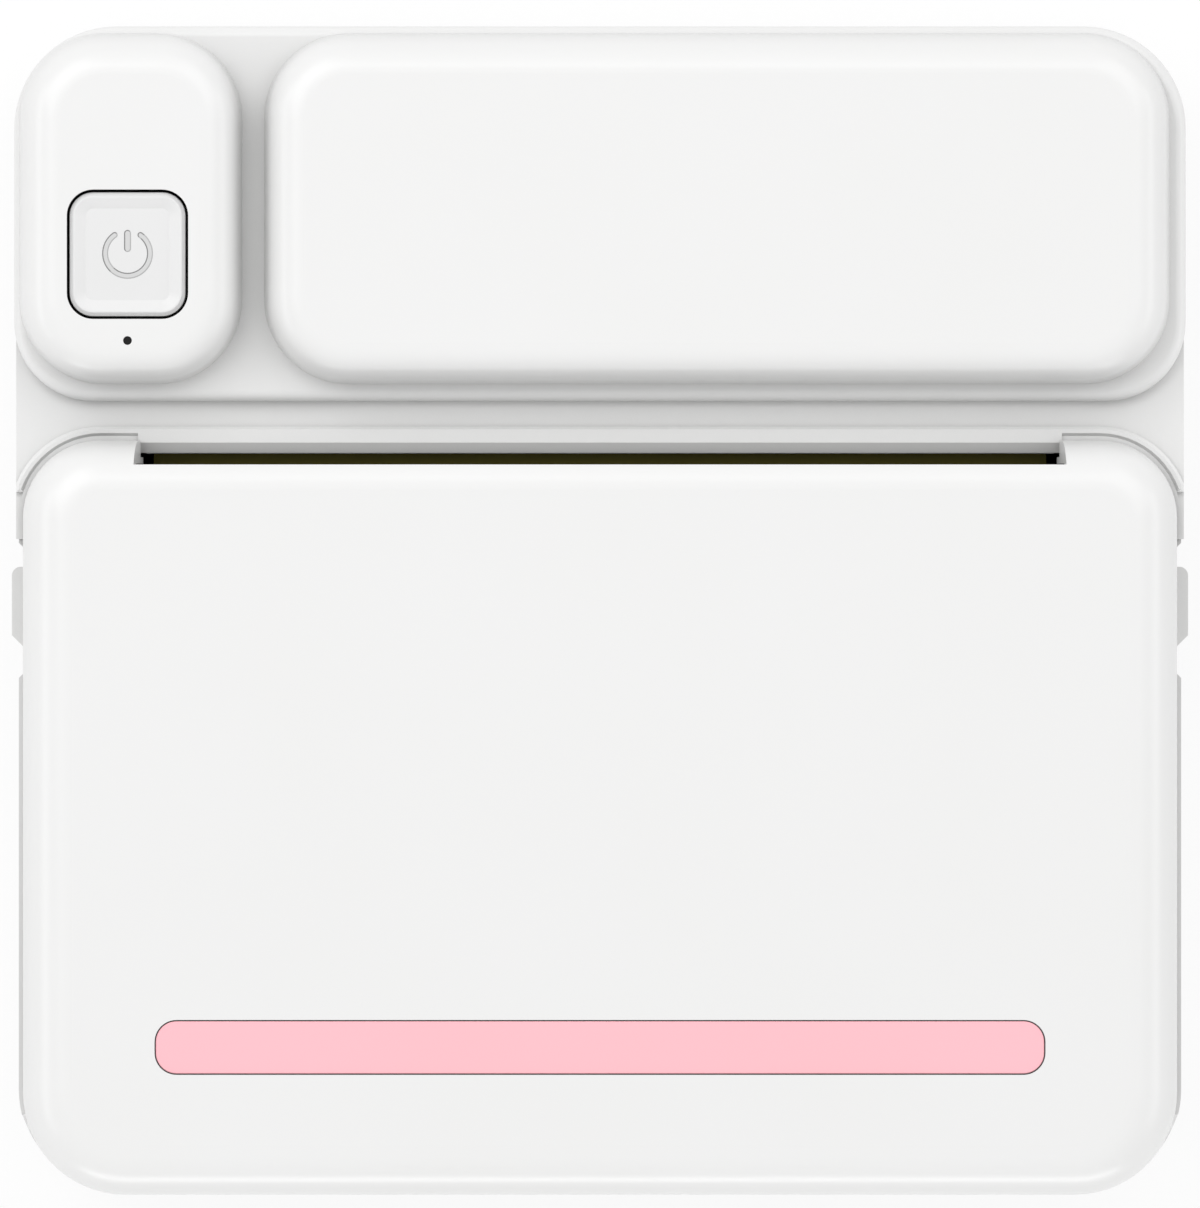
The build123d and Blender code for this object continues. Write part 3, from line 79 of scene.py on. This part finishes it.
def add_node(material, kind, sockets=None, **settings):
    """Adds a node. A socket takes a value or another node's output."""
    node = material.node_tree.nodes.new(kind)
    for name, value in settings.items():
        setattr(node, name, value)
    for name, value in (sockets or {}).items():
        if isinstance(value, bpy.types.NodeSocket):
            material.node_tree.links.new(value, node.inputs[name])
        else:
            node.inputs[name].default_value = value
    return node


def new_material(name):
    """An empty material, with the object's own coordinates in metres."""
    material = bpy.data.materials.new(name)
    material.use_nodes = True
    material.node_tree.nodes.clear()
    return material, add_node(material, "ShaderNodeTexCoord").outputs["Object"]


def surface(material, **sockets):
    """Ends a material in its shader. Words in a socket's name are joined by _."""
    named = {name.replace("_", " "): value for name, value in sockets.items()}
    shader = add_node(material, "ShaderNodeBsdfPrincipled", named)
    add_node(material, "ShaderNodeOutputMaterial", {"Surface": shader.outputs["BSDF"]})
    return material


def moulded_plastic(name, light, dark, roughness, ior, grain_mm, depth_mm, painted_shade_tone=None):
    """A moulded plastic: two near tones that drift slowly, and the grain of its mould.

    The last argument, if given, is the tone of painted shade that ambient occlusion mixes into
    corners and recesses.
    """
    drift_mm = 18
    shade_reach_mm = 6
    gloss_spread = 0.1
    material, where = new_material(name)
    drift = add_node(
        material,
        "ShaderNodeTexNoise",
        {"Vector": where, "Scale": 1 / (drift_mm * MM), "Detail": 2.0},
    )
    tone = add_node(
        material,
        "ShaderNodeMix",
        {"Factor": drift.outputs["Fac"], "A": linear(dark), "B": linear(light)},
        data_type="RGBA",
    )
    if painted_shade_tone:
        # Painted shade: ambient occlusion darkens corners and recesses towards the shade tone.
        occlusion_mask = add_node(
            material, "ShaderNodeAmbientOcclusion", {"Distance": shade_reach_mm * MM}, samples=8
        )
        tone = add_node(
            material,
            "ShaderNodeMix",
            {"Factor": occlusion_mask.outputs["AO"], "A": linear(painted_shade_tone), "B": tone.outputs["Result"]},
            data_type="RGBA",
        )
    grain = add_node(
        material,
        "ShaderNodeTexNoise",
        {"Vector": where, "Scale": 1 / (grain_mm * MM), "Detail": 3.0},
    )
    gloss = add_node(
        material,
        "ShaderNodeMapRange",
        {
            "Value": grain.outputs["Fac"],
            "To Min": roughness * (1 - gloss_spread),
            "To Max": roughness * (1 + gloss_spread),
        },
    )
    relief = add_node(
        material,
        "ShaderNodeBump",
        {"Height": grain.outputs["Fac"], "Distance": depth_mm * MM, "Strength": 1.0},
    )
    return surface(
        material,
        Base_Color=tone.outputs["Result"],
        Roughness=gloss.outputs["Result"],
        IOR=ior,
        Normal=relief.outputs["Normal"],
    )


def dress(material, *nodes):
    """Gives CAD nodes their material."""
    for node in nodes:
        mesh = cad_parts[node].data
        mesh.materials.clear()
        mesh.materials.append(material)


# Painted shade in the greyer tone c8c8c7 goes into its corners and recesses.
polished_abs = moulded_plastic(
    "polished_white_abs", "e9e9e9", "e7e7e6", 0.3, 1.54, 1.5, 0.002, painted_shade_tone="c8c8c7"
)
dress(polished_abs, "bottom_case")

# Feet: four discs cut from grey silicone sheet and bonded in their pockets.
# Silicone is soft and slightly see-through, so it looks dull and milky.
silicone_sheet = moulded_plastic("grey_silicone_sheet", "c9c9c6", "bcbcb9", 0.6, 1.41, 0.4, 0.01)
dress(silicone_sheet, "rubber_feet")

# Screws: self-tapping steel with a pan head, zinc plated, which leaves a bright bluish metal.
# The head is cold formed with its cross recess, and the thread is rolled into the shank.


def plated_metal(name, light, dark, roughness, blotch_mm, grain_mm, depth_mm):
    """A bare or plated metal, its tone and gloss in soft blotches, with a fine grain."""
    gloss_spread = 0.25
    material, where = new_material(name)
    blotch = add_node(
        material,
        "ShaderNodeTexNoise",
        {"Vector": where, "Scale": 1 / (blotch_mm * MM), "Detail": 4.0},
    )
    tone = add_node(
        material,
        "ShaderNodeMix",
        {"Factor": blotch.outputs["Fac"], "A": linear(dark), "B": linear(light)},
        data_type="RGBA",
    )
    gloss = add_node(
        material,
        "ShaderNodeMapRange",
        {
            "Value": blotch.outputs["Fac"],
            "To Min": roughness * (1 + gloss_spread),
            "To Max": roughness * (1 - gloss_spread),
        },
    )
    grain = add_node(
        material,
        "ShaderNodeTexNoise",
        {"Vector": where, "Scale": 1 / (grain_mm * MM), "Detail": 2.0},
    )
    relief = add_node(
        material,
        "ShaderNodeBump",
        {"Height": grain.outputs["Fac"], "Distance": depth_mm * MM, "Strength": 1.0},
    )
    return surface(
        material,
        Base_Color=tone.outputs["Result"],
        Metallic=1.0,
        Roughness=gloss.outputs["Result"],
        Normal=relief.outputs["Normal"],
    )


zinc_plate = plated_metal("zinc_plated_steel", "d9dadd", "bfc2c8", 0.3, 0.8, 0.1, 0.002)

# Radius and height over the seat along the head's outline, in millimetres.
pan_head = ((1.05, 1.3), (1.4, 1.19), (1.67, 1.0), (1.84, 0.75), (1.9, 0.5), (1.9, 0.0))
# Reach and half width of the recess's arms, and their height over the seat, from its floor up.
cross_recess = ((0.36, 0.09, 0.5), (0.66, 0.16, 0.95), (0.78, 0.2, 1.3))
thread_root = 0.74
thread_crest = 1.0
thread_pitch = 0.9
rows_per_turn = 6
ridge_share = 0.3
tip_length = 1.6
tip_share = 0.3
head_only_beyond = 1.5
same_place_mm = 0.001
sharp_from_degrees = 35
arm_corner = math.atan(cross_recess[-1][1] / cross_recess[-1][0])
way_to_diagonal = (math.pi / 4 + arm_corner) / 2
turns = [
    quarter * math.pi / 2 + part
    for quarter in range(4)
    for part in (
        0.0,
        arm_corner,
        way_to_diagonal,
        math.pi / 4,
        math.pi / 2 - way_to_diagonal,
        math.pi / 2 - arm_corner,
    )
]


def cross_reach(turn, arm, half_width):
    """How far a cross of four arms reaches from its centre in a direction."""
    off_arm = abs((turn + math.pi / 4) % (math.pi / 2) - math.pi / 4)
    return min(arm / math.cos(off_arm), half_width / max(math.sin(off_arm), 1e-6))


def screw_rings(length):
    """Radius and height over the seat of a screw's skin, ring by ring from recess to tip."""
    rings = [
        [(cross_reach(turn, arm, half_width), height) for turn in turns]
        for arm, half_width, height in cross_recess
    ]
    rings += [[(radius, height) for _ in turns] for radius, height in pan_head]
    rings.append([(thread_root, 0.0) for _ in turns])
    for row in range(1, int(length / thread_pitch * rows_per_turn)):
        height = -row * thread_pitch / rows_per_turn
        taper = min(1.0, tip_share + (1 - tip_share) * (length + height) / tip_length)
        ring = []
        for turn in turns:
            phase = (height / thread_pitch + turn / (2 * math.pi)) % 1.0
            crest = max(0.0, 1.0 - abs(phase - 0.5) / ridge_share)
            ring.append((taper * (thread_root + (thread_crest - thread_root) * crest), height))
        rings.append(ring)
    return rings


for node, body in (
    ("case_screws", "base"),
    ("frame_screws", "base"),
    ("board_screws", "base"),
    ("holder_screws", "lid"),
):
    plain = bmesh.new()
    plain.from_mesh(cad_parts[node].data)
    bmesh.ops.remove_doubles(plain, verts=plain.verts, dist=same_place_mm * MM)
    unseen = list(plain.verts)
    screw_mesh = bmesh.new()
    while unseen:
        one_screw = [unseen[0]]
        for vert in one_screw:
            for edge in vert.link_edges:
                beside = edge.other_vert(vert)
                if beside not in one_screw:
                    one_screw.append(beside)
        unseen = [vert for vert in unseen if vert not in one_screw]
        xs, ys, zs = zip(*(vert.co for vert in one_screw))
        centre_x, centre_y = (min(xs) + max(xs)) / 2, (min(ys) + max(ys)) / 2
        rim = [
            z
            for x, y, z in zip(xs, ys, zs)
            if math.hypot(x - centre_x, y - centre_y) > head_only_beyond * MM
        ]
        upward = 1 if max(zs) - max(rim) < min(rim) - min(zs) else -1
        seat = min(rim) if upward > 0 else max(rim)
        length = (max(zs) - min(zs)) / MM - pan_head[0][1]
        skin = [
            [
                screw_mesh.verts.new(
                    (
                        centre_x + radius * math.cos(turn) * MM,
                        centre_y + radius * math.sin(turn) * MM,
                        seat + upward * height * MM,
                    )
                )
                for turn, (radius, height) in zip(turns, ring)
            ]
            for ring in screw_rings(length)
        ]
        for inner, outer in zip(skin, skin[1:]):
            for index in range(len(turns)):
                beside = (index + 1) % len(turns)
                screw_mesh.faces.new((inner[index], inner[beside], outer[beside], outer[index]))
        screw_mesh.faces.new(skin[0])
        screw_mesh.faces.new(skin[-1])
    bmesh.ops.recalc_face_normals(screw_mesh, faces=screw_mesh.faces)
    for face in screw_mesh.faces:
        face.smooth = True
    plain.free()
    screws = bpy.data.objects.new("threaded_" + node, bpy.data.meshes.new("threaded_" + node))
    screw_mesh.to_mesh(screws.data)
    screw_mesh.free()
    screws.data.set_sharp_from_angle(angle=math.radians(sharp_from_degrees))
    screws.data.materials.append(zinc_plate)
    bpy.context.scene.collection.objects.link(screws)
    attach(screws, body)
    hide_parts(node)

# Paper bin: trough and deck under the cover, moulded in the same white ABS as the case.
# Its mould is spark-eroded, so the surface is matt and finely grained, and paper slides on it.
matt_abs = moulded_plastic("matt_white_abs", "ececea", "e6e6e4", 0.55, 1.54, 0.25, 0.012)
dress(matt_abs, "paper_bin")

# Mechanism frame: side plates, paper guide and spring wall in one piece, moulded in black
# polycarbonate with glass fibre. It looks dark grey and slightly uneven where the fibres end.
# The power switch and its plunger are moulded in the same.
glass_filled = moulded_plastic(
    "glass_filled_black_polycarbonate", "202124", "141517", 0.5, 1.58, 0.3, 0.01
)
dress(glass_filled, "mechanism_frame", "power_switch", "switch_plunger")

# Axles, hinge pins and the platen's shaft: ground steel rod.
# The wheel leaves fine rings round the rod, which draw a highlight out along it. Real ones are
# a hundredth of a millimetre wide; they are drawn coarser, so that they show.
ground_steel, where = new_material("ground_steel")
steel_ring_mm = 0.12
steel_ring_run_mm = 10 / 3
steel_ring_depth_mm = 0.003
along_rod = 1 / (steel_ring_mm * MM)
across_rod = 1 / (steel_ring_run_mm * MM)
stretched = add_node(
    ground_steel,
    "ShaderNodeMapping",
    {"Vector": where, "Scale": (along_rod, across_rod, across_rod)},
)
rings = add_node(
    ground_steel, "ShaderNodeTexNoise", {"Vector": stretched.outputs["Vector"], "Scale": 1.0}
)
steel_tone = add_node(
    ground_steel,
    "ShaderNodeMix",
    {"Factor": rings.outputs["Fac"], "A": linear("a3a4a7"), "B": linear("c6c7c9")},
    data_type="RGBA",
)
ring_relief = add_node(
    ground_steel,
    "ShaderNodeBump",
    {"Height": rings.outputs["Fac"], "Distance": steel_ring_depth_mm * MM, "Strength": 1.0},
)
surface(
    ground_steel,
    Base_Color=steel_tone.outputs["Result"],
    Metallic=1.0,
    Roughness=0.24,
    Normal=ring_relief.outputs["Normal"],
)
dress(ground_steel, "gear_axles", "hinge_pins", "platen_shaft")

# Gears and bushes: injection moulded acetal in its natural colour.
# Acetal is a slippery, waxy plastic, a warm white that lets a little light in.
natural_acetal = moulded_plastic("natural_acetal", "ece8dc", "e2ddcf", 0.38, 1.48, 0.6, 0.003)
dress(
    natural_acetal, "platen_gear", "idler_gear", "compound_gear", "motor_pinion", "platen_bushes"
)

# Motor: deep-drawn steel can, nickel plated.
# The same tinned or plated sheet makes the socket's shell and the radio's shield.
nickel_plate = plated_metal("nickel_plated_sheet", "d3d0c9", "b6b3ac", 0.28, 3.0, 0.2, 0.002)
dress(nickel_plate, "motor_body", "radio_module", "charging_socket")

# Print head: ceramic strip, glazed and coated olive brown, with a line of heating elements that
# the platen presses the paper on. Real ones stand eight to the millimetre; they are drawn four
# to the millimetre, because finer ones don't show.
glazed_ceramic, where = new_material("glazed_ceramic_head")
element_mm = 0.125
element_line_half_mm = 0.12
coating_cloud_mm = 6
parts_of = add_node(glazed_ceramic, "ShaderNodeSeparateXYZ", {"Vector": where})
roller_low, roller_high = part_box("platen_rubber")
heater_height = (roller_low.z + roller_high.z) / 2
off_line = add_node(
    glazed_ceramic,
    "ShaderNodeMath",
    {0: parts_of.outputs["Z"], 1: heater_height, 2: element_line_half_mm * MM},
    operation="COMPARE",
)
along = add_node(
    glazed_ceramic,
    "ShaderNodeMath",
    {0: parts_of.outputs["X"], 1: element_mm * MM},
    operation="PINGPONG",
)
elements = add_node(
    glazed_ceramic,
    "ShaderNodeMath",
    {0: along.outputs["Value"], 1: element_mm * MM / 2},
    operation="GREATER_THAN",
)
on_line = add_node(
    glazed_ceramic,
    "ShaderNodeMath",
    {0: off_line.outputs["Value"], 1: elements.outputs["Value"]},
    operation="MULTIPLY",
)
flow = add_node(
    glazed_ceramic,
    "ShaderNodeTexNoise",
    {"Vector": where, "Scale": 1 / (coating_cloud_mm * MM), "Detail": 3.0},
)
olive = add_node(
    glazed_ceramic,
    "ShaderNodeMix",
    {"Factor": flow.outputs["Fac"], "A": linear("554f0c"), "B": linear("5f590f")},
    data_type="RGBA",
)
head_tone = add_node(
    glazed_ceramic,
    "ShaderNodeMix",
    {"Factor": on_line.outputs["Value"], "A": olive.outputs["Result"], "B": linear("8c8a7e")},
    data_type="RGBA",
)
surface(glazed_ceramic, Base_Color=head_tone.outputs["Result"], Roughness=0.5, IOR=1.3)
dress(glazed_ceramic, "print_head")

# Heat spreader under the head: pressed aluminium strip with the grain of the rolling mill.
# The leaf spring behind it is bent from rolled spring steel, which looks darker and greyer. It
# is clipped in the frame's wall, and flattens by a tenth when the head tips back.
rolled_aluminium = plated_metal("rolled_aluminium", "d5d6d8", "c2c4c7", 0.38, 4.0, 0.12, 0.003)
dress(rolled_aluminium, "head_spreader")
spring_steel = plated_metal("rolled_spring_steel", "8f9298", "75787f", 0.3, 2.0, 0.1, 0.002)
leaf_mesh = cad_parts["head_spring"].data.copy()
leaf_mesh.materials.clear()
leaf_mesh.materials.append(spring_steel)
head_leaf = bpy.data.objects.new("head_leaf_spring", leaf_mesh)
bpy.context.scene.collection.objects.link(head_leaf)
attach(head_leaf, "base")
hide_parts("head_spring")
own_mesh(head_leaf)

# Circuit board: glass laminate under a green solder mask.
# The copper tracks below the mask show as paler green lines. Real ones are 0.2 mm wide; they
# are drawn 0.7 mm wide and 2.54 mm apart, in patches that run either way, so that they show.
solder_mask, where = new_material("green_solder_mask")
track_half_pitch_mm = 1.27
track_share = 0.28
track_thick_mm = 0.03
patch_mm = 7
patches_turned = 0.5
board_axes = add_node(solder_mask, "ShaderNodeSeparateXYZ", {"Vector": where})
patches = add_node(
    solder_mask, "ShaderNodeTexVoronoi", {"Vector": where, "Scale": 1 / (patch_mm * MM)}
)
patch_tone = add_node(
    solder_mask, "ShaderNodeSeparateColor", {"Color": patches.outputs["Color"]}
)
turned = add_node(
    solder_mask,
    "ShaderNodeMath",
    {0: patch_tone.outputs["Red"], 1: patches_turned},
    operation="GREATER_THAN",
)
over_tracks = add_node(
    solder_mask,
    "ShaderNodeMix",
    {
        "Factor": turned.outputs["Value"],
        "A": board_axes.outputs["X"],
        "B": board_axes.outputs["Y"],
    },
    data_type="FLOAT",
)
across = add_node(
    solder_mask,
    "ShaderNodeMath",
    {0: over_tracks.outputs["Result"], 1: track_half_pitch_mm * MM},
    operation="PINGPONG",
)
tracks = add_node(
    solder_mask,
    "ShaderNodeMath",
    {0: across.outputs["Value"], 1: track_half_pitch_mm * track_share * MM},
    operation="LESS_THAN",
)
mask_tone = add_node(
    solder_mask,
    "ShaderNodeMix",
    {"Factor": tracks.outputs["Value"], "A": linear("0b4a2b"), "B": linear("17693f")},
    data_type="RGBA",
)
track_relief = add_node(
    solder_mask,
    "ShaderNodeBump",
    {"Height": tracks.outputs["Value"], "Distance": track_thick_mm * MM, "Strength": 1.0},
)
surface(
    solder_mask,
    Base_Color=mask_tone.outputs["Result"],
    Roughness=0.25,
    IOR=1.5,
    Normal=track_relief.outputs["Normal"],
)
dress(solder_mask, "main_board")

# Chips: black epoxy moulded round the silicon, with a dull, fine-grained surface.
# Plugs are moulded in natural nylon, a creamy white, and the battery's leads have a smooth,
# bright red vinyl jacket.
black_epoxy = moulded_plastic("black_epoxy", "26272a", "1b1c1e", 0.55, 1.55, 0.12, 0.006)
dress(black_epoxy, "board_chips")
natural_nylon = moulded_plastic("natural_nylon", "e6e1d2", "d9d3c1", 0.45, 1.53, 0.4, 0.004)
dress(natural_nylon, "board_plugs")
red_vinyl = moulded_plastic("red_vinyl_jacket", "a81d18", "8f1612", 0.4, 1.53, 0.3, 0.004)
dress(red_vinyl, "battery_leads")

# Battery: lithium pouch wrapped in aluminium laminate.
# The foil is soft, so it puckers a little over the cell and keeps a satin shine.
pouch_foil = plated_metal("pouch_foil", "c9cbcf", "b1b3b8", 0.42, 6.0, 2.5, 0.05)
dress(pouch_foil, "battery_pack")

# Upper case: deck with the two pods, neck and rim, one moulding in the same polished ABS.
# It sits over the tray's lip, and two of the screws that come up through the tray's floor
# hold it.
dress(polished_abs, "upper_case")

# Power button: satin white cap that drops into its opening, its face slightly dished.
# The power sign is pressed into the face and filled with light grey. Its edge has painted shade
# on the side towards the upper left and a painted highlight on the other side.
# A soft ring of black silicone sits under the gap round the cap. Its black is painted shade for
# that gap, which shows as a dark line.
satin_abs = moulded_plastic("satin_white_abs", "e3e3e3", "e0e0e0", 0.42, 1.54, 0.5, 0.004)
dress(satin_abs, "power_button")
# The seal's black stands in for the shade in the gap round the cap.
black_silicone_painted_shade = moulded_plastic("black_silicone_painted_shade", "0b0b0c", "070708", 0.7, 1.41, 0.3, 0.006)
dress(black_silicone_painted_shade, "button_seal")

sign_centre_y = 24.41
sign_radius = 1.535
sign_stroke = 0.41
sign_gap_degrees = 35
sign_steps = 40
sign_turn_degrees = 360 - 2 * sign_gap_degrees
sign_bar_low = 24.5
sign_bar_high = 26.02
sign_bar_width = 0.48
sign_edge = 0.08
sign_proud = 0.02
button_dish = 0.3
sign_fill = moulded_plastic("grey_filling_ink", "d2d2d2", "cccccc", 0.5, 1.5, 0.3, 0.002)
# Painted shade and a painted highlight for the two sides of the sign's edge.
sign_painted_shade = moulded_plastic("painted_shade_sign_edge", "868686", "7c7c7c", 0.6, 1.5, 0.3, 0.002)
sign_painted_highlight = moulded_plastic("painted_highlight_sign_edge", "b4b4b4", "acacac", 0.6, 1.5, 0.3, 0.002)


def capsule(spine, half_width, steps=8):
    """Outline of a stroke of that half width along a spine of 2-D points, with round ends."""
    left, right = [], []
    for index, point in enumerate(spine):
        before = spine[max(index - 1, 0)]
        after = spine[min(index + 1, len(spine) - 1)]
        way = (after - before).normalized()
        side = Vector((-way.y, way.x)) * half_width
        left.append(point + side)
        right.append(point - side)
    ends = []
    for point, way in ((spine[-1], spine[-1] - spine[-2]), (spine[0], spine[0] - spine[1])):
        heading = math.atan2(way.y, way.x)
        turn = [heading + math.pi / 2 - math.pi * step / steps for step in range(1, steps)]
        ends.append([point + half_width * Vector((math.cos(a), math.sin(a))) for a in turn])
    return left + ends[0] + right[::-1] + ends[1]


button_low, button_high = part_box("power_button")
sign_x = (button_low.x + button_high.x) / 2 / MM
sign_low = button_high.z - button_dish * MM
ring = []
for step in range(sign_steps + 1):
    angle = math.radians(90 + sign_gap_degrees + sign_turn_degrees * step / sign_steps)
    ring.append(
        Vector((sign_x, sign_centre_y)) + sign_radius * Vector((math.cos(angle), math.sin(angle)))
    )
bar = [
    Vector((sign_x, sign_bar_low + sign_bar_width / 2)),
    Vector((sign_x, (sign_bar_low + sign_bar_high) / 2)),
    Vector((sign_x, sign_bar_high - sign_bar_width / 2)),
]
sign_mesh = bmesh.new()
for spine, stroke in ((ring, sign_stroke), (bar, sign_bar_width)):
    foot = capsule(spine, stroke / 2)
    top = capsule(spine, stroke / 2 - sign_edge)
    low_verts = [sign_mesh.verts.new((p.x * MM, p.y * MM, sign_low)) for p in foot]
    high_verts = [
        sign_mesh.verts.new((p.x * MM, p.y * MM, sign_low + sign_proud * MM)) for p in top
    ]
    for index in range(len(foot)):
        beside = (index + 1) % len(foot)
        edge = sign_mesh.faces.new(
            (low_verts[beside], low_verts[index], high_verts[index], high_verts[beside])
        )
        # Painted shade on the edge's side towards the upper left, a painted highlight on the other
        # side.
        out = foot[index] - top[index] + foot[beside] - top[beside]
        edge.material_index = 1 if out.y > out.x else 2
    sign_mesh.faces.new(high_verts)
bmesh.ops.recalc_face_normals(sign_mesh, faces=sign_mesh.faces)
bmesh.ops.triangulate(sign_mesh, faces=sign_mesh.faces)
power_sign = bpy.data.objects.new("power_sign", bpy.data.meshes.new("power_sign"))
sign_mesh.to_mesh(power_sign.data)
sign_mesh.free()
power_sign.data.materials.append(sign_fill)
power_sign.data.materials.append(sign_painted_shade)
power_sign.data.materials.append(sign_painted_highlight)
bpy.context.scene.collection.objects.link(power_sign)
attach(power_sign, "button")

# Indicator: light pipe of smoked acrylic, moulded with polished ends, behind the pinhole.
# It leads up from the lamp on the circuit board. Its near-black tone is painted shade that makes
# the pinhole look black.
smoked_acrylic_painted_shade = moulded_plastic("smoked_acrylic_painted_shade", "111112", "0c0c0d", 0.12, 1.49, 1.0, 0.001)
dress(smoked_acrylic_painted_shade, "light_pipe", "indicator_lamp")

# Cover: shell moulded in the same polished ABS, on two steel pins in the tray's lugs.
# The platen's holder, screwed under the edge at the paper slot, is moulded in the matt ABS.
dress(polished_abs, "lid_shell")
dress(matt_abs, "platen_holder")

# Platen: silicone rubber roller, ground true on its shaft.
# Grinding leaves fine dull rings round it, which grip the paper. Real ones are under a tenth
# of a millimetre wide; they are drawn coarser, so that they show.
ground_rubber, where = new_material("ground_silicone_rubber")
rubber_ring_mm = 0.2
rubber_ring_run_mm = 5
rubber_ring_depth_mm = 0.01
along_roller = 1 / (rubber_ring_mm * MM)
across_roller = 1 / (rubber_ring_run_mm * MM)
ring_space = add_node(
    ground_rubber,
    "ShaderNodeMapping",
    {"Vector": where, "Scale": (along_roller, across_roller, across_roller)},
)
rubber_rings = add_node(
    ground_rubber,
    "ShaderNodeTexNoise",
    {"Vector": ring_space.outputs["Vector"], "Scale": 1.0, "Detail": 3.0},
)
rubber_tone = add_node(
    ground_rubber,
    "ShaderNodeMix",
    {"Factor": rubber_rings.outputs["Fac"], "A": linear("29292c"), "B": linear("37373b")},
    data_type="RGBA",
)
rubber_relief = add_node(
    ground_rubber,
    "ShaderNodeBump",
    {
        "Height": rubber_rings.outputs["Fac"],
        "Distance": rubber_ring_depth_mm * MM,
        "Strength": 1.0,
    },
)
surface(
    ground_rubber,
    Base_Color=rubber_tone.outputs["Result"],
    Roughness=0.62,
    IOR=1.43,
    Normal=rubber_relief.outputs["Normal"],
)
dress(ground_rubber, "platen_rubber")

# Accent strip: inlay of pink acrylic, dropped into its recess in the cover and glued.
# It is moulded in a polished mould, so it is smoother and glossier than the ABS round it.
pink_acrylic = moulded_plastic("pink_acrylic", "ffc0c9", "ffbcc3", 0.16, 1.49, 2.0, 0.001)
dress(pink_acrylic, "accent_strip")

# Floor: a wide sheet of white paper on the studio table.
# The camera and the reflections see it nearly white, with a trace of the object's shadow. Its
# bounce is greyer, which keeps the edges of the case apart from it.
floor_width = 6.0
floor_white_share = 0.86
floor_material, where = new_material("white_paper_sweep")
rays = add_node(floor_material, "ShaderNodeLightPath")
camera_or_gloss = add_node(
    floor_material,
    "ShaderNodeMath",
    {0: rays.outputs["Is Camera Ray"], 1: rays.outputs["Is Glossy Ray"]},
    operation="ADD",
)
seen = add_node(
    floor_material,
    "ShaderNodeMath",
    {0: camera_or_gloss.outputs["Value"], 1: rays.outputs["Is Transmission Ray"]},
    operation="ADD",
    use_clamp=True,
)
paper_tone = add_node(
    floor_material,
    "ShaderNodeMix",
    {"Factor": seen.outputs["Value"], "A": linear("cccccc"), "B": linear("f6f6f6")},
    data_type="RGBA",
)
paper = add_node(
    floor_material, "ShaderNodeBsdfDiffuse", {"Color": paper_tone.outputs["Result"]}
)
glow = add_node(floor_material, "ShaderNodeEmission", {"Color": linear("ffffff"), "Strength": 1.0})
glow_share = add_node(
    floor_material,
    "ShaderNodeMath",
    {0: seen.outputs["Value"], 1: floor_white_share},
    operation="MULTIPLY",
)
mixed = add_node(
    floor_material,
    "ShaderNodeMixShader",
    {"Fac": glow_share.outputs["Value"], 1: paper.outputs["BSDF"], 2: glow.outputs["Emission"]},
)
add_node(floor_material, "ShaderNodeOutputMaterial", {"Surface": mixed.outputs["Shader"]})
floor_mesh = bpy.data.meshes.new("floor")
reach = floor_width / 2
floor_mesh.from_pydata(
    [(-reach, -reach, 0), (reach, -reach, 0), (reach, reach, 0), (-reach, reach, 0)],
    [],
    [(0, 1, 2, 3)],
)
floor_mesh.materials.append(floor_material)
floor = bpy.data.objects.new("floor", floor_mesh)
bpy.context.scene.collection.objects.link(floor)

# Light: a white room, two soft boxes over the corners of the button's end, and three low strips
# that draw out the hinge's end and the sides. Sizes and places are in metres, power in watts.
room_strength = 0.62
world = bpy.data.worlds.new("studio_room")
bpy.context.scene.world = world
world.use_nodes = True
world.node_tree.nodes["Background"].inputs["Color"].default_value = linear("ffffff")
world.node_tree.nodes["Background"].inputs["Strength"].default_value = room_strength
for name, size, power, place in (
    ("soft_box_left", (0.65, 0.65), 2.9, (-0.4, 0.4, 0.72)),
    ("soft_box_right", (0.65, 0.65), 1.75, (0.4, 0.4, 0.72)),
    ("strip_near", (0.9, 0.1), 2.2, (0.0, -0.8, 0.08)),
    ("strip_left", (0.8, 0.2), 0.9, (-0.75, 0.0, 0.35)),
    ("strip_right", (0.8, 0.2), 1.0, (0.75, 0.0, 0.3)),
):
    lamp = bpy.data.lights.new(name, "AREA")
    lamp.shape = "RECTANGLE"
    lamp.size, lamp.size_y = size
    lamp.energy = power
    stand = bpy.data.objects.new(name, lamp)
    stand.location = place
    stand.rotation_mode = "QUATERNION"
    stand.rotation_quaternion = (-Vector(place)).to_track_quat("-Z", "Y")
    bpy.context.scene.collection.objects.link(stand)

# Camera: straight above, with a long lens from far off, so that the sides of the case stay
# hidden. The picture's height and its middle are the photo's, at the object's real size.
view_height = 82.57 * MM
view_centre = (0.0, 0.44 * MM)
lens_mm = 1000
camera = bpy.data.cameras.new("camera")
camera.lens = lens_mm
distance = view_height * camera.lens / camera.sensor_width
eye = bpy.data.objects.new("camera", camera)
eye.location = (*view_centre, cad_box[1].z + distance)
camera.clip_start = 0.01
camera.clip_end = 2 * distance
bpy.context.scene.collection.objects.link(eye)
bpy.context.scene.camera = eye
bpy.context.scene.view_settings.view_transform = "Standard"
